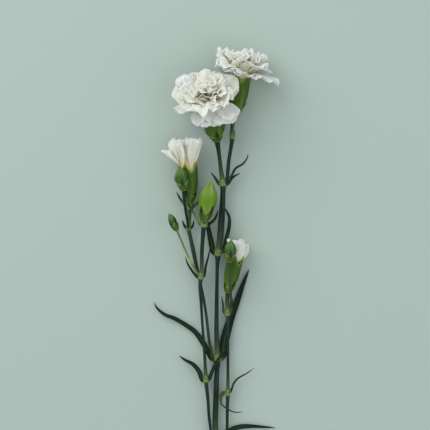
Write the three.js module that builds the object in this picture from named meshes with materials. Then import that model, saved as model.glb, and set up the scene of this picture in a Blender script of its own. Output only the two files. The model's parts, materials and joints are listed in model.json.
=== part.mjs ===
// A cut stem of white spray carnation, laid down on a flat surface.
// One main stem carries two open flowers on its tip. Three side branches carry a half-open flower,
// a flower that is just opening, and four green buds. Millimetres, +Z up; the cut end is towards -Y
// and the flowers towards +Y. Every stem, leaf, calyx, bract cup and petal is a piece of its own.
import * as THREE from 'three';

// ---- sizes of the whole plant, mm ----
const STEM_LENGTH = 331;
const GAP = 0.3; // clearance left between neighbouring pieces
const STEM_SIDES = 8;
const TWIG_SIDES = 6;
const NODE_HALF_LENGTH = 3.2; // half the length of the swelling where leaves are borne
const NODE_SWELL = 1.3; // how much thicker a stem is there
const LEAF_THICKNESS = 0.55;
const LEAF_STATIONS = 8;
const CALYX_LENGTH = 27;
const CALYX_TEETH = 5;
const CALYX_WALL = 0.6;
const BRACT_COUNT = 4; // pointed bracts hugging the foot of a calyx
const BRACT_WALL = 0.5;
const PETAL_THICKNESS = 0.4;
const PETAL_STATIONS = 5;
const PETAL_COLUMNS = 6;
const CLAW_DEPTH = 4; // how far a petal's claw reaches down inside the calyx
const HEART_SIDES = 20;
const BUD_SIDES = 10;

const GREEN_STEM = { color: 0x3c5a4a, roughness: 0.6 };
const GREEN_LEAF = { color: 0x22382a, roughness: 0.5 };
const GREEN_CALYX = { color: 0x6f9433, roughness: 0.5 };
const GREEN_BRACT = { color: 0x3f5c2a, roughness: 0.55 };
const WHITE_PETAL = { color: 0xf1f1ea, roughness: 0.75 };

const plant = new THREE.Group();
plant.name = 'cut_carnation';

function vec(p) {
  return new THREE.Vector3(p[0], p[1], p[2]);
}

function addPiece(name, geometry, look) {
  const material = new THREE.MeshStandardMaterial({ ...look, metalness: 0 });
  material.name = `${name}_surface`;
  const piece = new THREE.Mesh(geometry, material);
  piece.name = name;
  plant.add(piece);
}

// A closed body from a vertex list and a face list, turned so that its faces look outwards.
function closedBody(vertices, faces) {
  let volume = 0;
  for (const [a, b, c] of faces) {
    volume += vertices[a].dot(new THREE.Vector3().crossVectors(vertices[b], vertices[c]));
  }
  const index = faces.flatMap(([a, b, c]) => (volume > 0 ? [a, b, c] : [a, c, b]));
  const geometry = new THREE.BufferGeometry();
  geometry.setAttribute('position', new THREE.Float32BufferAttribute(vertices.flatMap((v) => v.toArray()), 3));
  geometry.setIndex(index);
  geometry.computeVertexNormals();
  return geometry;
}

// Rings of equal size joined into a skin. Each end is closed by a fan to its middle point, or, on a
// four-cornered leaf, by two triangles that meet along the midrib.
function loft(rings) {
  const sides = rings[0].length;
  const vertices = rings.flat();
  const faces = [];
  for (let i = 0; i + 1 < rings.length; i += 1) {
    for (let j = 0; j < sides; j += 1) {
      const a = i * sides + j;
      const b = i * sides + ((j + 1) % sides);
      faces.push([a, b, b + sides], [a, b + sides, a + sides]);
    }
  }
  for (const [ring, flip] of [[0, true], [rings.length - 1, false]]) {
    if (sides === 4) {
      const [a, b, c, d] = [0, 1, 2, 3].map((j) => ring * 4 + j);
      faces.push(flip ? [b, a, d] : [a, b, d], flip ? [c, b, d] : [b, c, d]);
      continue;
    }
    const middle = new THREE.Vector3();
    rings[ring].forEach((v) => middle.addScaledVector(v, 1 / sides));
    const m = vertices.push(middle) - 1;
    for (let j = 0; j < sides; j += 1) {
      const a = ring * sides + j;
      const b = ring * sides + ((j + 1) % sides);
      faces.push(flip ? [m, b, a] : [m, a, b]);
    }
  }
  return closedBody(vertices, faces);
}

// ---- stems: round, a little thicker where leaves are borne ----
// path: [x, y, z, radius] with y rising; nodes: the y of each swelling.
function stem(name, path, nodes, sides) {
  const knots = path.map((p) => p[1]);
  const slope = (k, axis) => {
    const lo = path[Math.max(0, k - 1)];
    const hi = path[Math.min(path.length - 1, k + 1)];
    return (hi[axis] - lo[axis]) / (hi[1] - lo[1]);
  };
  const at = (y, axis) => {
    let k = knots.findIndex((v) => v > y) - 1;
    if (k < 0) k = y < knots[0] ? 0 : path.length - 2;
    const step = knots[k + 1] - knots[k];
    const t = (y - knots[k]) / step;
    const h = [2 * t ** 3 - 3 * t ** 2 + 1, t ** 3 - 2 * t ** 2 + t, -2 * t ** 3 + 3 * t ** 2, t ** 3 - t ** 2];
    return h[0] * path[k][axis] + h[1] * step * slope(k, axis)
      + h[2] * path[k + 1][axis] + h[3] * step * slope(k + 1, axis);
  };
  const clear = (y) => nodes.every((n) => Math.abs(y - n) > NODE_HALF_LENGTH * 1.3);
  const stations = knots.filter((y, k) => k === 0 || k === knots.length - 1 || clear(y));
  nodes.forEach((n) => stations.push(n - NODE_HALF_LENGTH, n, n + NODE_HALF_LENGTH));
  stations.sort((a, b) => a - b);
  const rings = stations.map((y) => {
    const centre = new THREE.Vector3(at(y, 0), y, at(y, 2));
    const ahead = new THREE.Vector3(at(y + 0.5, 0) - at(y - 0.5, 0), 1, at(y + 0.5, 2) - at(y - 0.5, 2));
    const side = new THREE.Vector3(0, 0, 1).cross(ahead).normalize();
    const up = new THREE.Vector3().crossVectors(ahead, side).normalize();
    const radius = at(y, 3) * (nodes.includes(y) ? NODE_SWELL : 1);
    return Array.from({ length: sides }, (_, j) => {
      const turn = (j / sides) * 2 * Math.PI;
      return centre.clone()
        .addScaledVector(side, radius * Math.cos(turn))
        .addScaledVector(up, radius * Math.sin(turn));
    });
  });
  addPiece(name, loft(rings), GREEN_STEM);
}

stem('stem_main', [
  [0.5, 0, 2.4, 2.3],
  [0.3, 30, 2.7, 2.3],
  [0.8, 55, 3.2, 2.3],
  [0.4, 85, 3.6, 2.25],
  [-0.2, 107.5, 4.0, 2.3],
  [-1.3, 117, 4.2, 2.2],
  [-0.8, 137.5, 4.6, 2.1],
  [-0.2, 156, 5.0, 1.9],
  [0.6, 168, 5.3, 2.0],
  [-0.1, 180, 5.7, 1.85],
  [-0.4, 191.5, 6.0, 1.75],
  [-0.2, 212.5, 6.7, 1.5],
  [0.2, 236.5, 7.5, 1.35],
  [0.8, 247, 7.9, 2.1],
  [2.5, 260.5, 8.4, 2.5],
  [3.6, 276, 9.0, 2.4],
  [4.4, 291, 9.6, 2.0],
  [4.5, 299.5, 9.9, 2.1],
  [3.1, 309, 10.3, 1.6],
  [1.4, 323, 11.2, 1.5],
  [0.25, STEM_LENGTH - 1.2, 11.6, 2.0],
], [55, 107.5, 168, 247, 299.5], STEM_SIDES);

stem('branch_left', [
  [-4.0, 110.5, 5.7, 0.9],
  [-5.0, 117, 5.9, 1.1],
  [-6.1, 126, 6.1, 1.15],
  [-6.8, 137.5, 6.4, 1.2],
  [-8.3, 152, 6.8, 1.5],
  [-9.1, 167.5, 7.6, 1.15],
  [-10.1, 182.5, 8.6, 1.0],
  [-11.2, 197.5, 9.6, 1.0],
  [-12.0, 212.5, 10.5, 1.2],
  [-12.6, 221.5, 11.0, 1.4],
  [-12.1, 229.5, 11.5, 1.5],
  [-11.4, 238, 12.0, 1.5],
  [-11.3, 248, 12.6, 1.5],
  [-10.8, 257.5, 13.2, 1.5],
  [-9.7, 269.8, 14.0, 2.0],
], [152, 229.5], TWIG_SIDES);

stem('branch_middle', [
  [-3.9, 169.5, 5.4, 0.9],
  [-4.6, 175, 5.3, 1.05],
  [-6.0, 182.5, 5.0, 1.05],
  [-7.7, 197.5, 4.7, 1.1],
  [-9.9, 212.5, 4.6, 1.1],
  [-12.1, 223, 4.8, 1.15],
  [-14.4, 232.8, 5.2, 1.3],
  [-18.0, 250, 6.0, 1.6],
  [-19.9, 259, 6.4, 1.4],
  [-21.4, 266.5, 6.7, 1.4],
  [-20.4, 274, 7.2, 1.2],
  [-20.6, 281, 7.9, 1.5],
  [-20.3, 284.6, 8.2, 1.8],
], [266.5], TWIG_SIDES);

stem('branch_right', [
  [4.9, 58.5, 3.9, 0.9],
  [5.4, 85, 4.2, 1.0],
  [7.0, 104, 4.8, 1.1],
  [7.6, 115, 5.1, 1.15],
  [7.8, 131, 5.5, 1.2],
  [8.2, 141.8, 5.8, 1.4],
  [8.2, 163.8, 6.5, 1.1],
  [8.2, 191.5, 7.5, 1.0],
  [7.7, 202, 7.9, 1.4],
  [7.5, 210, 8.2, 1.5],
  [7.9, 216.4, 8.3, 1.8],
], [141.8, 202], TWIG_SIDES);

stem('pedicel_second_flower', [
  [8.4, 302.4, 11.2, 1.0],
  [8.2, 310, 10.6, 1.4],
  [8.9, 317.5, 10.2, 1.4],
  [10.2, 325, 9.9, 1.4],
  [11.5, 334.8, 9.8, 1.6],
  [11.6, 344, 10.5, 1.5],
  [13.9, 351.3, 11.4, 1.8],
], [334.8], TWIG_SIDES);

stem('pedicel_side_bud', [
  [-21.6, 268, 9.9, 0.8],
  [-22.3, 273, 12.2, 1.0],
  [-23.2, 278.5, 15.0, 1.1],
  [-24.2, 286, 18.4, 1.1],
  [-24.8, 292.8, 20.6, 1.4],
], [], TWIG_SIDES);

stem('pedicel_tiny_bud', [
  [-14.9, 232.6, 12.6, 0.7],
  [-19.4, 240.6, 13.3, 0.8],
  [-24.4, 251.5, 13.9, 0.75],
  [-27.4, 258.7, 14.2, 0.75],
  [-29.7, 264.1, 14.5, 0.9],
], [240.6], TWIG_SIDES);

stem('pedicel_front_bud', [
  [10.6, 214.4, 12.2, 0.85],
  [10.2, 220.5, 17.0, 0.9],
  [9.4, 229, 19.6, 1.0],
  [9.0, 239.6, 21.9, 1.3],
], [], TWIG_SIDES);

// ---- leaves: long, narrow, keeled and drawn out to a point ----
// spine: [x, y, z] from the sheathing foot to the tip. A pair is one strip that runs from tip to tip
// round the table side of the stem, because the feet of the two leaves are grown together there.
function leaf(name, spine, halfWidth, fold = 0.45, pair = false) {
  const curve = new THREE.CatmullRomCurve3(spine.map(vec), false, 'centripetal');
  const stations = pair ? LEAF_STATIONS + 4 : LEAF_STATIONS;
  const rings = Array.from({ length: stations + 1 }, (_, i) => {
    const t = i / stations;
    const centre = curve.getPoint(t);
    const ahead = curve.getTangent(t);
    const side = new THREE.Vector3(0, 0, 1).cross(ahead).normalize();
    const up = new THREE.Vector3().crossVectors(ahead, side).normalize();
    const fromTip = pair ? 1 - Math.abs(2 * t - 1) : 1 - t;
    const taper = Math.min(1, 0.1 + 1.5 * fromTip ** 0.8);
    const foot = pair ? 1 : Math.min(1, 0.55 + 3 * t);
    const width = halfWidth * taper * foot;
    const thick = LEAF_THICKNESS * Math.min(1, 0.45 + fromTip);
    const rise = fold * width;
    return [[-width, rise], [0, thick / 2], [width, rise], [0, -thick / 2]].map(([across, high]) => (
      centre.clone().addScaledVector(side, across).addScaledVector(up, high)
    ));
  });
  addPiece(name, loft(rings), GREEN_LEAF);
}

leaf('leaf_low_left', [
  [-3.1, 54.6, 2.4],
  [-6.5, 57.5, 1.8],
  [-11, 65, 1.6],
  [-14, 76, 2.0],
  [-15, 87, 2.2],
  [-13.8, 97, 1.2],
], 2.4);
leaf('leaf_low_right', [
  [4.7, 52.6, 2.4],
  [8.5, 55.5, 1.8],
  [14, 62, 1.6],
  [18.5, 72, 2.2],
  [21, 84, 2.4],
  [21.4, 95, 1.2],
], 2.4);
leaf('leaf_second_left', [
  [-4.2, 107.2, 2.6],
  [-8, 105.5, 2.2],
  [-15, 103.6, 1.8],
  [-24, 103, 2.0],
  [-32, 100.5, 2.2],
  [-38, 96, 1.2],
], 2.0);
leaf('leaf_second_right', [
  [4.0, 109.2, 2.4],
  [10.5, 114, 1.8],
  [17.2, 116.6, 1.8],
  [25, 117.1, 2.2],
  [34, 116.6, 2.4],
  [43.9, 115.9, 1.2],
], 2.0);
leaf('leaf_third_left', [
  [-4.1, 167.8, 2.6],
  [-7.5, 174.6, 2.0],
  [-11.7, 181.8, 2.0],
  [-17.8, 189.4, 2.4],
  [-30.8, 197.8, 3.6],
  [-38.5, 200.9, 3.8],
  [-44.6, 205.5, 3.2],
  [-47.6, 210.4, 2.2],
], 1.9);
leaf('leaf_third_right', [
  [4.4, 171.2, 3.4],
  [5.2, 178.8, 3.0],
  [7.2, 187.8, 2.8],
  [10.5, 199, 2.6],
  [15, 211, 2.4],
  [19.5, 223.8, 2.0],
  [24.4, 235.4, 0.8],
], 3.5, 0.3);
leaf('leaf_branch_left_outer', [
  [-11.5, 152.6, 6.4],
  [-13.6, 158.8, 6.0],
  [-17.8, 163.8, 5.6],
  [-24, 167.2, 5.0],
  [-28.5, 170.3, 4.2],
], 1.8);
leaf('leaf_branch_left_inner', [
  [-5.3, 153.6, 7.6],
  [-2.2, 162.4, 8.6],
  [2.4, 170.2, 9.4],
  [6.3, 176, 9.6],
], 1.4);
leaf('leaf_curled', [
  [5.7, 142.4, 6.8],
  [4.0, 141.2, 7.6],
  [2.8, 137.9, 8.2],
  [3.6, 134, 8.6],
  [7.5, 131, 8.6],
  [11.8, 128.6, 8.0],
  [19.8, 128.3, 6.4],
], 1.2);
leaf('leaf_branch_right_outer', [
  [11.2, 144.2, 6.0],
  [12.6, 149.6, 5.6],
  [16.1, 153.6, 5.2],
  [22.4, 157.1, 4.6],
  [28.1, 161.1, 3.8],
], 0.7);
leaf('leaf_fourth_left', [
  [-3.2, 249.6, 6.9],
  [-4.6, 256.8, 6.2],
  [-6, 264.2, 5.6],
  [-7.5, 271, 5.0],
  [-8.6, 277, 4.6],
], 2.1);
leaf('leaf_fourth_right', [
  [5.2, 250.2, 8.4],
  [7.3, 259.8, 9.6],
  [9.0, 267.2, 11.0],
  [9.2, 274, 12.4],
  [7.2, 278.9, 13.2],
  [4.8, 282, 13.4],
], 1.4);
leaf('leaf_top_long', [
  [10.9, 304.6, 10.8],
  [14, 311.2, 11.0],
  [19.4, 314.6, 10.6],
  [22.4, 318.7, 9.8],
  [23.4, 322.4, 9.0],
], 0.8);
leaf('leaf_under_green_bud', [
  [-13.9, 271.4, 12.6],
  [-16.6, 276.5, 11.8],
  [-20.6, 283, 12.6],
  [-23.4, 287.5, 14.2],
], 0.95);
leaf('leaf_pair_branch_right', [
  [3.4, 215.5, 8.6],
  [4.6, 208.5, 8.2],
  [4.8, 203.4, 7.2],
  [7.7, 201.2, 5.0],
  [10.6, 203.4, 7.2],
  [10.9, 208.5, 8.2],
  [11.8, 213.5, 8.6],
], 0.9, 0.45, true);
leaf('leaf_pair_branch_left', [
  [-23.9, 245.3, 13.0],
  [-21.8, 239.5, 11.8],
  [-18.6, 234.3, 10.8],
  [-15.0, 230.2, 9.6],
  [-12.1, 228.6, 8.2],
  [-9.2, 231.2, 9.8],
  [-8.4, 238, 11.2],
  [-6.4, 245.5, 12.0],
  [-4.8, 253, 12.4],
], 0.9, 0.45, true);
leaf('leaf_pair_top', [
  [-4.7, 308.4, 9.4],
  [-1.2, 303.8, 8.8],
  [0.6, 300.4, 7.8],
  [4.5, 298.2, 6.1],
  [8.6, 300, 7.6],
  [12, 304.6, 8.6],
  [17.4, 307.8, 9.4],
], 1.1, 0.45, true);
leaf('leaf_pair_green_bud', [
  [-17.5, 277.2, 9.4],
  [-15.0, 273.6, 9.8],
  [-12.8, 270.4, 10.4],
  [-9.6, 268.4, 10.6],
  [-6.2, 269.6, 10.6],
  [-2.2, 272.6, 10.8],
  [-0.2, 276.5, 11.2],
  [0.8, 280, 11.8],
], 1.0, 0.45, true);
leaf('leaf_pair_half_open', [
  [-30.6, 293.7, 8.4],
  [-27.4, 288.2, 7.4],
  [-23.6, 283.6, 6.4],
  [-20.6, 281.6, 5.0],
  [-17.4, 283.2, 6.4],
  [-13.4, 286.6, 8.0],
  [-11.6, 290.8, 9.0],
], 1.1, 0.45, true);
leaf('leaf_pair_side_bud', [
  [-26.2, 272.5, 7.6],
  [-24.6, 268.6, 6.4],
  [-21.5, 265.6, 3.5],
  [-18.1, 268.2, 6.2],
  [-17.4, 272.5, 7.8],
], 0.8, 0.45, true);

// ---- flowers ----
// A flower's own frame: foot is the bottom of the calyx and axis the way it points. Turn 0 is the
// right-hand side, a quarter turn is the upper side and three quarters is the table side.
function flowerFrame(foot, lean, lift) {
  const leanRad = THREE.MathUtils.degToRad(lean);
  const liftRad = THREE.MathUtils.degToRad(lift);
  const axis = new THREE.Vector3(
    Math.sin(leanRad) * Math.cos(liftRad),
    Math.cos(leanRad) * Math.cos(liftRad),
    Math.sin(liftRad),
  );
  const right = new THREE.Vector3(Math.cos(leanRad), -Math.sin(leanRad), 0);
  return { foot: vec(foot), axis, right, upper: new THREE.Vector3().crossVectors(right, axis) };
}

function place(frame, radius, turn, height) {
  return frame.foot.clone()
    .addScaledVector(frame.axis, height)
    .addScaledVector(frame.right, radius * Math.cos(turn))
    .addScaledVector(frame.upper, radius * Math.sin(turn));
}

function ringOf(frame, sides, radius, height) {
  return Array.from({ length: sides }, (_, j) => {
    const turn = (j / sides) * 2 * Math.PI + Math.PI / 2;
    return place(frame, radius(j), turn, height(j));
  });
}

// The calyx: a green tube, rounded below, that ends in five pointed teeth and holds the petals.
const CALYX_PROFILE = [[0, 0.26], [0.05, 0.4], [0.17, 0.62], [0.4, 0.9], [0.8, 0.98]];

function calyx(name, frame, radius, length) {
  const sides = CALYX_TEETH * 2;
  const tooth = (j) => (j % 2 === 0 ? 0.1 : -0.06) * length;
  const rings = CALYX_PROFILE.map(([along, wide]) => (
    ringOf(frame, sides, () => radius * wide, () => length * along)
  ));
  rings.push(ringOf(frame, sides, () => radius, (j) => length + tooth(j)));
  const inner = radius - CALYX_WALL;
  rings.push(ringOf(frame, sides, () => inner, (j) => length + tooth(j) - 0.2));
  rings.push(ringOf(frame, sides, () => inner * 0.97, () => length * 0.75));
  rings.push(ringOf(frame, sides, () => inner * 0.94, () => length * 0.5));
  addPiece(name, loft(rings), GREEN_CALYX);
}

// The bract cup: four short pointed bracts that overlap round the foot of the calyx.
function bracts(name, frame, radius, length, reach) {
  const sides = BRACT_COUNT * 3;
  const rim = (j) => (j % 3 === 0 ? reach : reach * 0.62);
  const rimWide = (j) => Math.min(1, 0.54 + 0.95 * rim(j));
  const shape = [[-0.01, 0.18], [0.03, 0.44], [0.1, 0.56], [0.16, 0.67]];
  const wall = BRACT_WALL + GAP;
  const rings = shape.map(([along, wide]) => (
    ringOf(frame, sides, () => radius * wide + wall, () => length * along - GAP - BRACT_WALL)
  ));
  [wall, GAP].forEach((off) => {
    rings.push(ringOf(frame, sides, (j) => radius * rimWide(j) + off, (j) => length * rim(j)));
  });
  shape.slice().reverse().forEach(([along, wide]) => {
    rings.push(ringOf(frame, sides, () => radius * wide + GAP, () => length * along - GAP));
  });
  addPiece(name, loft(rings), GREEN_BRACT);
}

// How far out and how high a petal has come after a share of its length: it leaves the calyx almost
// straight, bends over the first half and stays at its final angle over the second.
function petalCurve(start, bend, length, share) {
  const first = THREE.MathUtils.degToRad(10);
  const last = THREE.MathUtils.degToRad(bend);
  let [out, high] = start;
  const steps = 24;
  for (let i = 0; i < Math.round(steps * share); i += 1) {
    const angle = first + (last - first) * Math.min(1, ((i + 0.5) / steps) * 2);
    out += (Math.sin(angle) * length) / steps;
    high += (Math.cos(angle) * length) / steps;
  }
  return [out, high];
}

// One outer petal: a thin fan with a waved, toothed edge.
// turn and halfTurn in degrees round the flower; bend is its final angle from the flower's axis.
function petal(name, frame, mouth, { turn, halfTurn, bend, length, wave = 1 }) {
  const middle = THREE.MathUtils.degToRad(turn);
  const half = THREE.MathUtils.degToRad(halfTurn);
  const shares = [-1, 0, 0.25, 0.5, 0.75, 1];
  const profile = shares.map((share) => (
    share < 0 ? [mouth.radius * 0.68, mouth.height - CLAW_DEPTH]
      : petalCurve([mouth.radius * 0.75, mouth.height + 1], bend, length, share)
  ));
  const skins = [1, -1].map((face) => profile.map(([out, high], i) => {
    const [outBefore, highBefore] = profile[Math.max(0, i - 1)];
    const [outAfter, highAfter] = profile[Math.min(profile.length - 1, i + 1)];
    const run = Math.hypot(outAfter - outBefore, highAfter - highBefore);
    const normal = [-(highAfter - highBefore) / run, (outAfter - outBefore) / run];
    return Array.from({ length: PETAL_COLUMNS + 1 }, (_, j) => {
      const across = (2 * j) / PETAL_COLUMNS - 1;
      const share = Math.max(0, shares[i]);
      const ripple = wave * share * share * Math.sin(across * 5.5 + turn);
      const tooth = i === profile.length - 1 && j % 2 === 1 ? -1.1 : 0;
      const shift = ripple + (face * PETAL_THICKNESS) / 2;
      return place(
        frame,
        out + normal[0] * shift + normal[1] * tooth - Math.abs(across) ** 3 * share * 2,
        middle + across * half,
        high + normal[1] * shift - normal[0] * tooth,
      );
    });
  }));
  const columns = PETAL_COLUMNS + 1;
  const rows = PETAL_STATIONS + 1;
  const vertices = skins.flat(2);
  const at = (face, i, j) => face * rows * columns + i * columns + j;
  const faces = [];
  const quad = (a, b, c, d) => faces.push([a, b, c], [a, c, d]);
  for (let i = 0; i < PETAL_STATIONS; i += 1) {
    for (let j = 0; j < PETAL_COLUMNS; j += 1) {
      quad(at(0, i, j), at(0, i, j + 1), at(0, i + 1, j + 1), at(0, i + 1, j));
      quad(at(1, i, j), at(1, i + 1, j), at(1, i + 1, j + 1), at(1, i, j + 1));
    }
    quad(at(0, i, 0), at(0, i + 1, 0), at(1, i + 1, 0), at(1, i, 0));
    quad(at(0, i, PETAL_COLUMNS), at(1, i, PETAL_COLUMNS), at(1, i + 1, PETAL_COLUMNS), at(0, i + 1, PETAL_COLUMNS));
  }
  for (let j = 0; j < PETAL_COLUMNS; j += 1) {
    quad(at(0, 0, j), at(1, 0, j), at(1, 0, j + 1), at(0, 0, j + 1));
    quad(at(0, PETAL_STATIONS, j), at(0, PETAL_STATIONS, j + 1), at(1, PETAL_STATIONS, j + 1), at(1, PETAL_STATIONS, j));
  }
  addPiece(name, closedBody(vertices, faces), WHITE_PETAL);
}

// The crumpled inner petals of one flower, taken together as one ruffled body that starts inside
// the calyx. profile: [radius, height, how strongly the rim's ruffles show there].
function innerPetals(name, frame, profile, ruffles) {
  const rings = profile.map(([radius, height, ruffle]) => (
    Array.from({ length: HEART_SIDES }, (_, j) => {
      const turn = (j / HEART_SIDES) * 2 * Math.PI;
      const swing = ruffle * Math.sin(ruffles * turn + radius * 0.35);
      return place(frame, radius + swing, turn, height - swing * 0.6);
    })
  ));
  addPiece(name, loft(rings), WHITE_PETAL);
}

// First flower, fully open, carried by the tip of the main stem and turned upwards.
const firstFlower = flowerFrame([0.1, STEM_LENGTH + 1, 12.2], -12, 24);
const FIRST_RADIUS = 8.2;
const firstMouth = { radius: FIRST_RADIUS, height: CALYX_LENGTH + 1 };
bracts('bracts_first_flower', firstFlower, FIRST_RADIUS, CALYX_LENGTH + 1, 0.4);
calyx('calyx_first_flower', firstFlower, FIRST_RADIUS, CALYX_LENGTH + 1);
[
  { turn: 16, halfTurn: 23, bend: 84, length: 22 },
  { turn: 65, halfTurn: 23, bend: 138, length: 21 },
  { turn: 114, halfTurn: 23, bend: 132, length: 20 },
  { turn: 165, halfTurn: 25, bend: 80, length: 24 },
  { turn: 226, halfTurn: 33, bend: 82, length: 20 },
  { turn: 300, halfTurn: 34, bend: 72, length: 17 },
].forEach((shape, i) => petal(`petal_first_flower_${i + 1}`, firstFlower, firstMouth, shape));
innerPetals('inner_petals_first_flower', firstFlower, [
  [4.2, 17, 0],
  [4.4, 29, 0],
  [10, 38.5, 0.4],
  [20.5, 45.5, 1.6],
  [18, 50.5, 1.4],
  [12, 53, 1.0],
  [5, 53.5, 0.5],
], 5);

// Second flower, open and seen from its side, on the long pedicel beside the first.
const secondFlower = flowerFrame([14.4, 352.8, 11.8], 8, 10);
const SECOND_RADIUS = 7.4;
const secondMouth = { radius: SECOND_RADIUS, height: CALYX_LENGTH };
bracts('bracts_second_flower', secondFlower, SECOND_RADIUS, CALYX_LENGTH, 0.4);
calyx('calyx_second_flower', secondFlower, SECOND_RADIUS, CALYX_LENGTH);
[
  { turn: 358, halfTurn: 34, bend: 108, length: 24 },
  { turn: 66, halfTurn: 30, bend: 84, length: 17 },
  { turn: 185, halfTurn: 34, bend: 68, length: 26 },
  { turn: 251, halfTurn: 27, bend: 80, length: 14.5 },
].forEach((shape, i) => petal(`petal_second_flower_${i + 1}`, secondFlower, secondMouth, shape));
innerPetals('inner_petals_second_flower', secondFlower, [
  [4.0, 17, 0],
  [4.4, 28, 0],
  [8.5, 36.5, 0.4],
  [15.5, 44, 1.4],
  [13, 47.5, 1.2],
  [8, 49, 0.8],
  [3.5, 49, 0.4],
], 5);

// Half-open flower on the middle branch: its petals still stand together, one has folded outwards.
const halfOpenFlower = flowerFrame([-20.1, 286.3, 8.7], -4, 4);
const HALF_OPEN_RADIUS = 7.6;
const HALF_OPEN_LENGTH = 25;
bracts('bracts_half_open', halfOpenFlower, HALF_OPEN_RADIUS, HALF_OPEN_LENGTH, 0.42);
calyx('calyx_half_open', halfOpenFlower, HALF_OPEN_RADIUS, HALF_OPEN_LENGTH);
petal('petal_half_open', halfOpenFlower, { radius: HALF_OPEN_RADIUS, height: HALF_OPEN_LENGTH }, {
  turn: 182, halfTurn: 24, bend: 62, length: 20, wave: 0.7,
});
innerPetals('inner_petals_half_open', halfOpenFlower, [
  [4.0, 16, 0],
  [4.2, 26, 0],
  [8.4, 34, 0.3],
  [10, 42, 0.6],
  [9.6, 47, 0.8],
  [5.5, 48.5, 0.6],
], 4);

// Flower that is just opening, on the right branch.
const openingFlower = flowerFrame([8.2, 218, 8.6], 12, 3);
const OPENING_RADIUS = 6.2;
const OPENING_LENGTH = 25;
bracts('bracts_opening', openingFlower, OPENING_RADIUS, OPENING_LENGTH, 0.4);
calyx('calyx_opening', openingFlower, OPENING_RADIUS, OPENING_LENGTH);
innerPetals('inner_petals_opening', openingFlower, [
  [3.4, 16, 0],
  [4.2, 26, 0],
  [7.6, 30, 0.3],
  [8.3, 34, 0.6],
  [7, 38.5, 0.8],
  [4, 40, 0.4],
], 4);

// ---- buds: the calyx still closed over the petals ----
const BUD_PROFILE = [
  [0, 0.26], [0.05, 0.4], [0.17, 0.62], [0.4, 0.9], [0.56, 1], [0.74, 0.84], [0.88, 0.5], [1, 0.1],
];

function bud(name, frame, radius, length) {
  const rings = BUD_PROFILE.map(([along, wide]) => (
    ringOf(frame, BUD_SIDES, () => radius * wide, () => length * along)
  ));
  addPiece(name, loft(rings), GREEN_CALYX);
}

const greenBud = flowerFrame([-9.5, 271.6, 14.2], 9.5, 3);
bracts('bracts_green_bud', greenBud, 7.0, 30, 0.34);
bud('bud_green', greenBud, 7.0, 30);

const sideBud = flowerFrame([-24.9, 294.6, 21.2], -9, 6);
bracts('bracts_side_bud', sideBud, 4.6, 18, 0.5);
bud('bud_side', sideBud, 4.6, 18);

const frontBud = flowerFrame([9.0, 241.4, 22.4], 5, 8);
bracts('bracts_front_bud', frontBud, 4.0, 16.5, 0.5);
bud('bud_front', frontBud, 4.0, 16.5);

bud('bud_tiny', flowerFrame([-29.9, 264.9, 14.7], -26, 4), 3.0, 14);

// The plant's own origin: the middle of its box in plan, on the surface it lies on.
const box = new THREE.Box3();
plant.children.forEach((piece) => {
  piece.geometry.computeBoundingBox();
  box.union(piece.geometry.boundingBox);
});
const middle = box.getCenter(new THREE.Vector3());
plant.children.forEach((piece) => piece.geometry.translate(-middle.x, -middle.y, -box.min.z));

export default plant;
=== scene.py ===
import json
import math
import random

import bmesh
import bpy
import numpy as np
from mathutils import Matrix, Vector

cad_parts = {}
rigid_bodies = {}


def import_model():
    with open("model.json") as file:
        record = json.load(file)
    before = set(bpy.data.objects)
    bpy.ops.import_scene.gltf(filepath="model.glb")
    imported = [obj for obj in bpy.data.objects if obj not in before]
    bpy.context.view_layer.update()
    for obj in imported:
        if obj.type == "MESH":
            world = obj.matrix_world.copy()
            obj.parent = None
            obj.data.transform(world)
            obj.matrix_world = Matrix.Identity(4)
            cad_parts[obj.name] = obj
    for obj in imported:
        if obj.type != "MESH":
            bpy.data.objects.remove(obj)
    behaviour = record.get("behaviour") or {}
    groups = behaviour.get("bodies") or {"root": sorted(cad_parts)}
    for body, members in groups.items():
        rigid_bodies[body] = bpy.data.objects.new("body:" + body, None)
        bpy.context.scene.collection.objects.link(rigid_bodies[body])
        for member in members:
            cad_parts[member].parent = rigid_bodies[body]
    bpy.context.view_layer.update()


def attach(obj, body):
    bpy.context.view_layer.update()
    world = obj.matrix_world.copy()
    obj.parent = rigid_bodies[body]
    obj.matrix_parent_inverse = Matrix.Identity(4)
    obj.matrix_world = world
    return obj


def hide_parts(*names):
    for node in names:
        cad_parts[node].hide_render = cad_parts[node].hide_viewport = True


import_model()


# ---- Main stem and the stalks that branch from it ----
# Green, slightly woody stems, round and waxy, with a swollen joint wherever leaves are borne.
# Each runs as one tapering tube; a side stalk leaves the joint below it, and the lowest end is
# where the plant was cut from its root.

# The plant is laid out in millimetres from its cut end; this is the middle of its box, at the floor.
PLANT_MIDDLE = Vector((-1.74976, 201.30038, 0.10012))
MM = 0.001

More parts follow.
